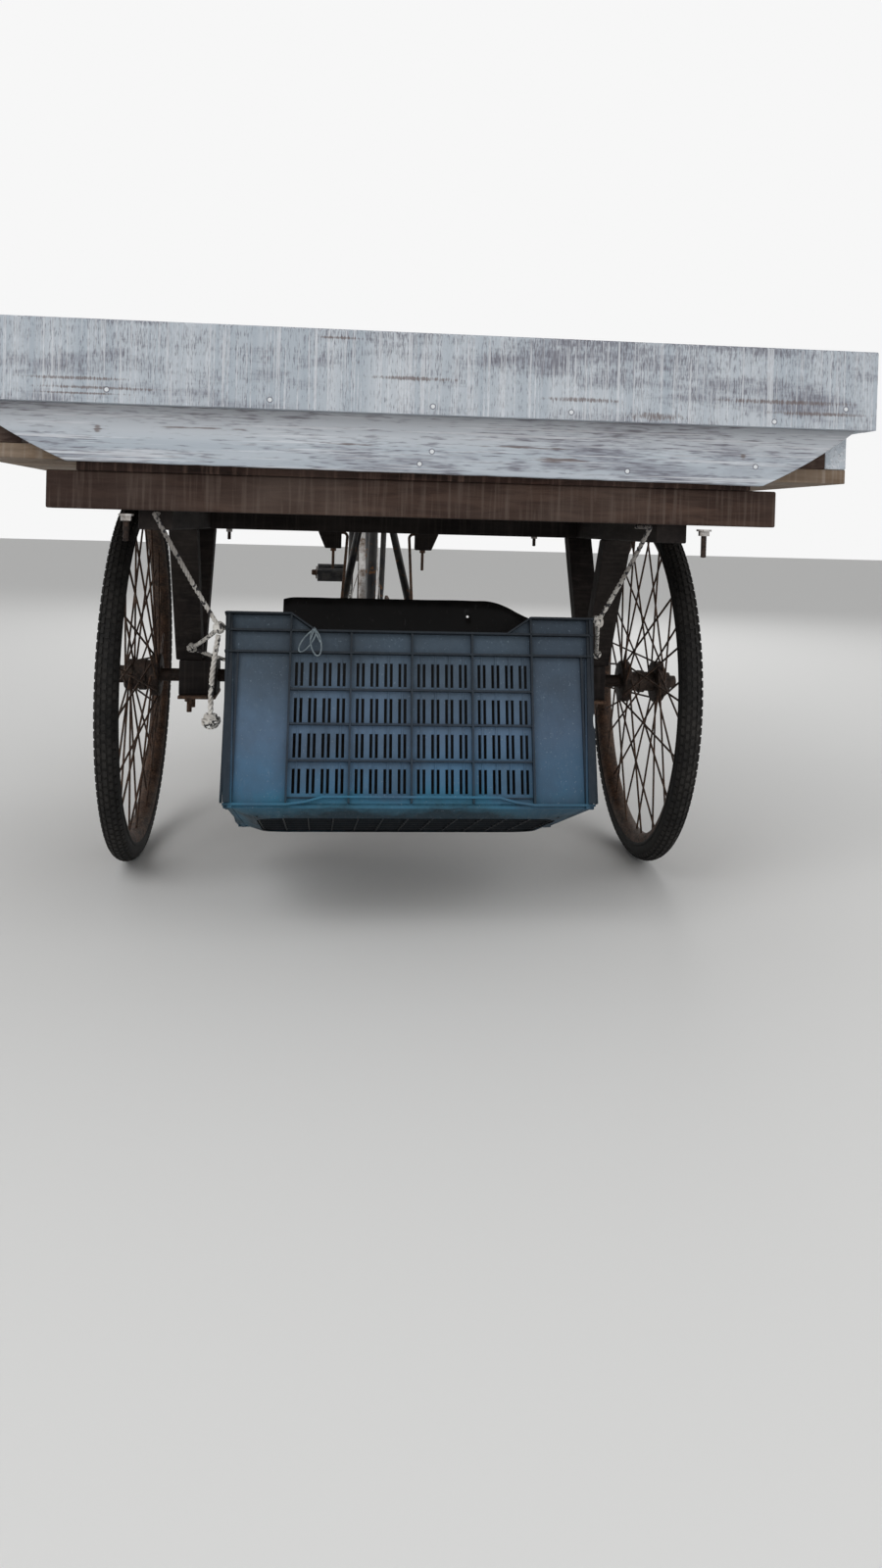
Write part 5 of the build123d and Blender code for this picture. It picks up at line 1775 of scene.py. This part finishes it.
def makePedals():
    look = driveShape
    rubber, steel = Heap(), Heap()
    half, spindle = look["pedalHalf"], look["pedalSpindle"]
    out = look["armInner"] + look["armThick"] + look["pedalGap"] + half
    block = ridgedBlock()
    edge = list(look["pedalPlate"])
    top = mirrored(edge[1:]) + edge
    plate = [(y, -z) for y, z in top] + top[::-1]
    cap = [(-0.0012, 0), (-0.0012, 0.0046), (0.0012, 0.0042), (0.0012, 0)]
    tip = half + look["pedalNut"]
    barrel = [(-half, 0.0085), (-half + 0.005, spindle), (half - 0.005, spindle), (half - 0.001, 0.0090)]
    barrel += [(tip - 0.003, 0.0090), (tip, spindle), (tip, 0)]
    for side, lift, tilt in look["pedalTilts"]:
        middle = Matrix.Translation((side * out, bracket.y, bracket.z + lift * look["crankLength"]))
        middle = middle @ Matrix.Rotation(math.radians(tilt), 4, "X")
        for lean in (-1, 1):
            place = middle @ moved(0, lean * look["pedalRow"], 0)
            rubber.prism(block, -half + 0.006, half - 0.006, place)
            for end in (-1, 1):
                steel.lathe(cap, 6, place @ moved(end * (half - 0.0004), 0, 0))
        for end in (-1, 1):
            x = end * (half - 0.003)
            steel.prism(plate, x - 0.0020, x + 0.0020, middle)
        steel.lathe(barrel, 28, middle @ Matrix.Rotation(0 if side > 0 else math.pi, 4, "Z"))
        start = middle @ Vector((-side * (half + look["pedalGap"] + 0.001), 0, 0))
        steel.tube([start, middle @ Vector((-side * (half - 0.001), 0, 0))], spindle, 20)
    rubber.make("pedal_rubbers", "grip_rubber", bodyOf["pedals"], "grip_rubber", ["pedals"], smoothDeg=25)
    steel.make("pedal_cages", "dark_rust", bodyOf["pedals"], "rusty_steel", smoothDeg=35)


pinsOfChain, chainStep = chainPins()
makeChain(pinsOfChain, chainStep)
makeSprocket(pinsOfChain)
makeCranks(pinsOfChain)
makePedals()
print("drive made")

# Saddle: a shaped leather top on coil springs
saddleShape = {
    "lift": 0.680,
    "seatAngle": 74,
    "rise": 0.060,
    "drop": 0.040,
    "across": 24,
    "flat": 0.45,  # share of the half width before the sides fall
    "leather": 0.0045,
    "spring": (0.055, -0.095),  # across, along
    "coilTurns": 4.2,
    "coilRadius": 0.0142,
    "coilWaist": 0.002,
    "coilWire": 0.0026,
    "coilFoot": 0.0315,  # below the leather's edge
    "coilHigh": 0.029,
    "railRadius": 0.0036,
    "rail": (
        # across, along, below the leather's edge
        (0.0495, -0.099, 0.0315),
        (0.034, -0.094, 0.031),
        (0.022, -0.070, 0.0275),
        (0.022, 0.070, 0.0165),
        (0.0176, 0.098, 0.0125),
        (0.004, 0.103, 0.0115),
    ),
    "clampHalf": (0.014, 0.019),
    "clampBolt": (0.0215, 0.022),
    "sections": (
        # along, half width, crown
        (-0.129, 0.058, 0.006),
        (-0.118, 0.078, 0.010),
        (-0.095, 0.094, 0.013),
        (-0.060, 0.0985, 0.016),
        (-0.025, 0.083, 0.016),
        (0.010, 0.060, 0.014),
        (0.050, 0.041, 0.012),
        (0.090, 0.030, 0.011),
        (0.118, 0.025, 0.010),
        (0.1295, 0.017, 0.008),
    ),
}


def upSeat(distance):
    a = math.radians(saddleShape["seatAngle"])
    return bracket + Vector((0, -math.cos(a), math.sin(a))) * distance


def smoothLine(points, steps):
    # a soft line through the points
    points = [Vector(p) for p in points]
    line = []
    for i in range(len(points) - 1):
        a = points[max(i - 1, 0)]
        b, c = points[i], points[i + 1]
        d = points[min(i + 2, len(points) - 1)]
        for k in range(steps):
            t = k / steps
            point = 2 * b + (c - a) * t
            point += (2 * a - 5 * b + 4 * c - d) * t ** 2
            point += (3 * b - a - 3 * c + d) * t ** 3
            line.append(0.5 * point)
    line.append(points[-1])
    return line


def makeSaddleTop(clamp, top):
    look = saddleShape
    count, flat = look["across"] + 1, look["flat"]
    points = []
    for along, half, crown in look["sections"]:
        for k in range(count):
            t = -1 + 2 * k / look["across"]
            x = half * math.sin(t * math.pi / 2) * (1 if abs(t) < 0.9 else 0.985)
            fall = look["drop"] * max(0.0, abs(t) - flat) ** 2 / (1 - flat) ** 2 * (0.92 + 0.08 * abs(t))
            points.append((x, clamp.y + along, top + crown * 0.4 * (1 - t * t) - fall - 0.001))
    faces = []
    for i in range(len(look["sections"]) - 1):
        for k in range(count - 1):
            a = i * count + k
            faces.append((a, a + 1, a + count + 1, a + count))
    heap = Heap()
    heap.add(points, faces)
    piece = heap.make(
        "saddle_top", "saddle_leather", bodyOf["saddle"], "saddle_leather", ["saddle"], smoothDeg=180,
    )
    thick = piece.modifiers.new("leather", "SOLIDIFY")
    thick.thickness = look["leather"]
    thick.offset = -1
    soft = piece.modifiers.new("soft", "SUBSURF")
    soft.levels = 1
    soft.render_levels = 1


def coilSpring(heap, x, y, top):
    look = saddleShape
    steps = 120
    coil = []
    for k in range(steps + 1):
        a = 2 * math.pi * look["coilTurns"] * k / steps
        radius = look["coilRadius"] - look["coilWaist"] * math.sin(math.pi * k / steps)
        z = top - look["coilFoot"] + look["coilHigh"] * k / steps
        coil.append((x + radius * math.cos(a), y + radius * math.sin(a), z))
    heap.tube(coil, look["coilWire"], 8)
    cap = [(0, 0), (0, 0.0168), (0.002, 0.0168), (0.002, 0)]
    heap.lathe(cap, 28, moved(x, y, top) @ Matrix.Rotation(math.pi / 2, 4, "Y"))


def makeSaddleFrame(clamp, under):
    # coil springs, rails of round wire and the clamp with its bolt
    look = saddleShape
    steel = Heap()
    springX, springY = look["spring"]
    wire = look["railRadius"]
    for side in (-1, 1):
        coilSpring(steel, side * springX, clamp.y + springY, under)
        rail = [(side * x, clamp.y + y, under - down) for x, y, down in look["rail"]]
        steel.tube(smoothLine(rail, 5), wire, 10)
    back, foot = clamp.y + look["rail"][0][1], under - look["coilFoot"]
    steel.tube([(-springX, back, foot), (springX, back, foot)], wire, 10)
    steel.tube([(0, clamp.y + 0.100, under - 0.0145), (0, clamp.y + 0.101, under + 0.001)], 0.0080, 16)
    halfX, halfY = look["clampHalf"]
    steel.box((-halfX, clamp.y - halfY, clamp.z - halfY), (halfX, clamp.y + halfY, under - 0.0075))
    boltX, boltLow = look["clampBolt"]
    edge = [(0.005, 0.0145), (0.0075, 0.0120), (0.0075, 0)]
    washer = mirrored(edge) + edge
    for side in (-1, 1):
        place = moved(side * boltX, clamp.y, under - boltLow)
        steel.lathe(washer, 24, place)
        near, far = side * 0.0075, side * 0.0085
        steel.lathe([(near, 0), (near, 0.007), (far, 0.007), (far, 0)], 6, place)
    node = "saddle_frame"
    steel.make("saddle_springs", "rusty_steel", bodyOf[node], "rusty_steel", [node], smoothDeg=40)


def makeSaddle():
    clamp = upSeat(saddleShape["lift"])
    top = clamp.z + saddleShape["rise"]
    makeSaddleTop(clamp, top)
    makeSaddleFrame(clamp, top - saddleShape["drop"] - 0.0003)


makeSaddle()
print("saddle made")

# Front end: a mudguard with its stays, and ribbed grips
guardShape = {
    "fromDeg": 25,
    "sweepDeg": 165,
    "crown": 0.374,
    "edge": 0.366,
    "half": 0.033,
    "thick": 0.0014,
    "across": 14,
    "stayRadius": 0.00225,
    "stayDegs": (-6, 24),
    "stayEnd": (0.032, 0.367),  # across, from the hub
    "stayHub": 0.058,
    "boltReach": (0.3703, 0.404),  # up the steering axis
    "boltRadius": 0.0078,
    "headDeg": 68,
    "rake": 0.060,
}


def upHead(distance, x=0.0):
    a = math.radians(guardShape["headDeg"])
    run = Vector((0, -math.cos(a), math.sin(a)))
    ahead = Vector((0, math.sin(a), math.cos(a)))
    return frontHub - ahead * guardShape["rake"] + run * distance + Vector((x, 0, 0))


def makeMudguard():
    look = guardShape
    heap = Heap()
    half, edge, thick = look["half"], look["edge"], look["thick"]
    upper, lower = [], []
    for k in range(look["across"] + 1):
        t = -1 + 2 * k / look["across"]
        radius = edge + (look["crown"] - edge) * math.sqrt(max(0, 1 - t * t * 0.98))
        upper.append((half * t, radius + thick))
        lower.append((half * t, radius))
    bead = [(half + 0.0002, edge + 0.0015), (half - 0.001, edge - 0.0002)]
    start, sweep = math.radians(look["fromDeg"]), math.radians(look["sweepDeg"])
    section = upper + bead + lower[::-1]
    heap.lathe(section, 96, Matrix.Translation(frontHub), closed=True, start=start, sweep=sweep)
    across, reach = look["stayEnd"]
    nut = [(-0.002, 0), (-0.002, 0.004), (0.002, 0.004), (0.002, 0)]
    for side in (-1, 1):
        near = frontHub + Vector((side * look["stayHub"], 0, 0))
        for angle in look["stayDegs"]:
            turn = math.radians(angle)
            far = frontHub + Vector((side * across, -reach * math.cos(turn), reach * math.sin(turn)))
            middle = near.lerp(far, 0.5) + Vector((side * 0.001, 0, 0))
            heap.tube([near, middle, far], look["stayRadius"], 8)
            heap.lathe(nut, 6, Matrix.Translation(far) @ moved(-side * 0.0005, 0, 0))
    heap.tube([upHead(distance) for distance in look["boltReach"]], look["boltRadius"], 16)
    body = bodyOf["front_mudguard"]
    heap.make("front_mudguard_rolled", "dull_steel", body, "dull_steel", ["front_mudguard"], smoothDeg=45)


gripShape = {
    "stemTop": 0.715,  # up the steering axis
    "bar": (0.052, 0.014),  # ahead of the stem's top and above it
    "back": (0.288, -0.190, -0.022),
    "front": (0.280, -0.020, 0.026),
    "collar": ((0.0005, 0.0), (0.0005, 0.012), (0.002, 0.0148), (0.005, 0.0152), (0.008, 0.0148)),
    "ribs": 11,
    "ribFrom": 0.012,
    "ribPitch": 0.0085,
    "rib": ((0, 0.0136), (0.0010, 0.0148), (0.0050, 0.0148), (0.0060, 0.0136)),
    "mouth": ((0.1120, 0.0140), (0.1135, 0.0152), (0.1170, 0.0152), (0.1178, 0.0125), (0.1178, 0.0111)),
}


def makeGrips():
    look = gripShape
    heap = Heap()
    base = upHead(look["stemTop"])
    ahead, above = look["bar"]
    bar = Vector((0, base.y + ahead, base.z + above))
    profile = list(look["collar"])
    for k in range(look["ribs"]):
        profile += [(look["ribFrom"] + k * look["ribPitch"] + x, radius) for x, radius in look["rib"]]
    profile += look["mouth"]
    for side in (-1, 1):
        first, second = (bar + Vector((side * x, y, z)) for x, y, z in (look["back"], look["front"]))
        run = (second - first).normalized()
        heap.lathe(profile, 40, Matrix.Translation(first) @ run.to_track_quat("X", "Z").to_matrix().to_4x4())
    heap.make("grips_ribbed", "grip_rubber", bodyOf["grips"], "grip_rubber", ["grips"], smoothDeg=40)


makeMudguard()
makeGrips()
print("front end made")

# Lower tail board: its foot is cut a little higher at the left, and its ends slope in by a shallow curve
boardCut = {
    "leftFoot": 0.743,
    "rightFoot": 0.737,
    "footHalf": 0.522,
    "endSag": 0.0035,
    "ragged": 0.0007,
    "steps": (8, 44),  # down an end, along the foot
}


def boardEnd(sign, half, top, foot):
    # from a top corner down to the foot
    look = boardCut
    steps = look["steps"][0]
    line = []
    for k in range(steps + 1):
        t = k / steps
        bow = look["endSag"] * 4 * t * (1 - t)
        line.append((sign * (half - (half - look["footHalf"]) * t + bow), top + (foot - top) * t - bow))
    return line


def makeLowerBoard():
    look = boardCut
    low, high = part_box("tail_board_lower")
    half, top = high[0], high[2]
    foot = []
    steps = look["steps"][1]
    for k in range(1, steps):
        t = k / steps
        nick = look["ragged"] * math.sin(t * 61) * math.sin(t * 23)
        level = look["leftFoot"] + (look["rightFoot"] - look["leftFoot"]) * t
        foot.append((look["footHalf"] * (2 * t - 1), level + abs(nick)))
    left, right = boardEnd(-1, half, top, look["leftFoot"]), boardEnd(1, half, top, look["rightFoot"])
    outline = left + foot + right[::-1]
    heap = Heap()
    heap.loft([[(x, y, z) for x, z in outline] for y in (low[1], high[1])])
    node = "tail_board_lower"
    heap.make(
        "lower_board_cut", "lower_board", bodyOf[node], "painted_board", [node], smoothDeg=30, bevel=0.0012,
    )


makeLowerBoard()
print("lower board made")

# Small fittings: bolts under the beams, and a string tied in a bow on the crate's rim
fittingLook = {
    "bolts": (
        # x, y from the axle, underside, length, radius, washer radius
        (-0.4375, -0.570, 0.6680, 0.038, 0.0045, 0.0115),
        (0.4400, -0.570, 0.6680, 0.040, 0.0045, 0.0115),
        (-0.3412, 0.080, 0.6480, 0.021, 0.0036, 0.0070),
        (0.2900, 0.080, 0.6500, 0.021, 0.0036, 0.0070),
    ),
    "washerThick": 0.0030,
    "nutWide": 1.9,  # shares of the bolt's radius
    "nutHigh": 1.6,
    "threadPitch": 0.0016,
    "threadDeep": 0.0004,
    "bowAt": (-0.158, 0.2900),  # along the near wall, up
    "bowRadius": 0.0013,
    "bowLoops": (
        # lean, drop, turn
        (-0.021, 0.036, 0.004),
        (0.006, 0.042, -0.003),
    ),
    "bowEnds": ((0.010, 0.020), (-0.006, 0.016)),
    "bowRound": ((-0.0035, 0.003), (0.002, 0.006), (0.0155, 0.005)),  # round the rim: inward, up
}


def makeUnderBolts():
    look = fittingLook
    bolts, washers = Heap(), Heap()
    thick, pitch = look["washerThick"], look["threadPitch"]
    for x, y, high, length, radius, wide in look["bolts"]:
        down = moved(x, axleY + y, high) @ Matrix.Rotation(math.pi / 2, 4, "Y")
        washers.lathe([(0, 0), (0, wide), (thick, wide), (thick, 0)], 20, down)
        nut, nutEnd = radius * look["nutWide"], thick + radius * look["nutHigh"]
        washers.lathe([(thick, 0), (thick, nut), (nutEnd, nut), (nutEnd, 0)], 6, down)
        turns = int(length / pitch)
        profile = [(thick, 0)]
        for k in range(turns * 2):
            profile.append((thick + 0.001 + k * pitch / 2, radius - (look["threadDeep"] if k % 2 else 0)))
        bolts.lathe([*profile, (thick + 0.001 + turns * pitch, 0)], 12, down)
    bolts.make("under_bolt_shanks", "dark_hub", bodyOf["tail_beam"], "dull_steel")
    washers.make("under_bolt_washers", "dull_steel", bodyOf["tail_beam"], "dull_steel", smoothDeg=30)


def makeRimBow():
    look = fittingLook
    x, high = look["bowAt"]
    radius = look["bowRadius"]
    reach = -crateHalf(high)[1] - crateShape["ribReach"]
    knot = Vector((x, reach - 0.0050, high))
    heap = Heap()
    heap.tube([knot, *((x, reach + inward, high + up) for inward, up in look["bowRound"])], radius, 6)
    steps = 16
    for lean, drop, turn in look["bowLoops"]:
        loop = []
        for k in range(steps + 1):
            a = 2 * math.pi * k / steps
            fall = (1 - math.cos(a)) / 2
            across = lean * fall + 0.0085 * math.sin(a) * math.cos(turn)
            loop.append(knot + Vector((across, -0.0018 * math.sin(a * 2) - 0.001, -drop * fall)))
        heap.tube(loop, radius, 6)
    for lean, drop in look["bowEnds"]:
        middle = knot + Vector((lean * 0.4, -0.003, -drop * 0.4))
        heap.tube([knot, middle, knot + Vector((lean, -0.002, -drop))], radius * 0.9, 6)
    knotted(heap, knot, 0.0042, seed=4, wraps=4, radius=0.0014)
    piece = Heap()
    piece.add(heap.points, heap.faces, cratePlace)
    piece.make("rim_string_bow", "string_fibre", bodyOf["crate"], "rope_fibre", smoothDeg=60)


makeUnderBolts()
makeRimBow()
print("fittings made")
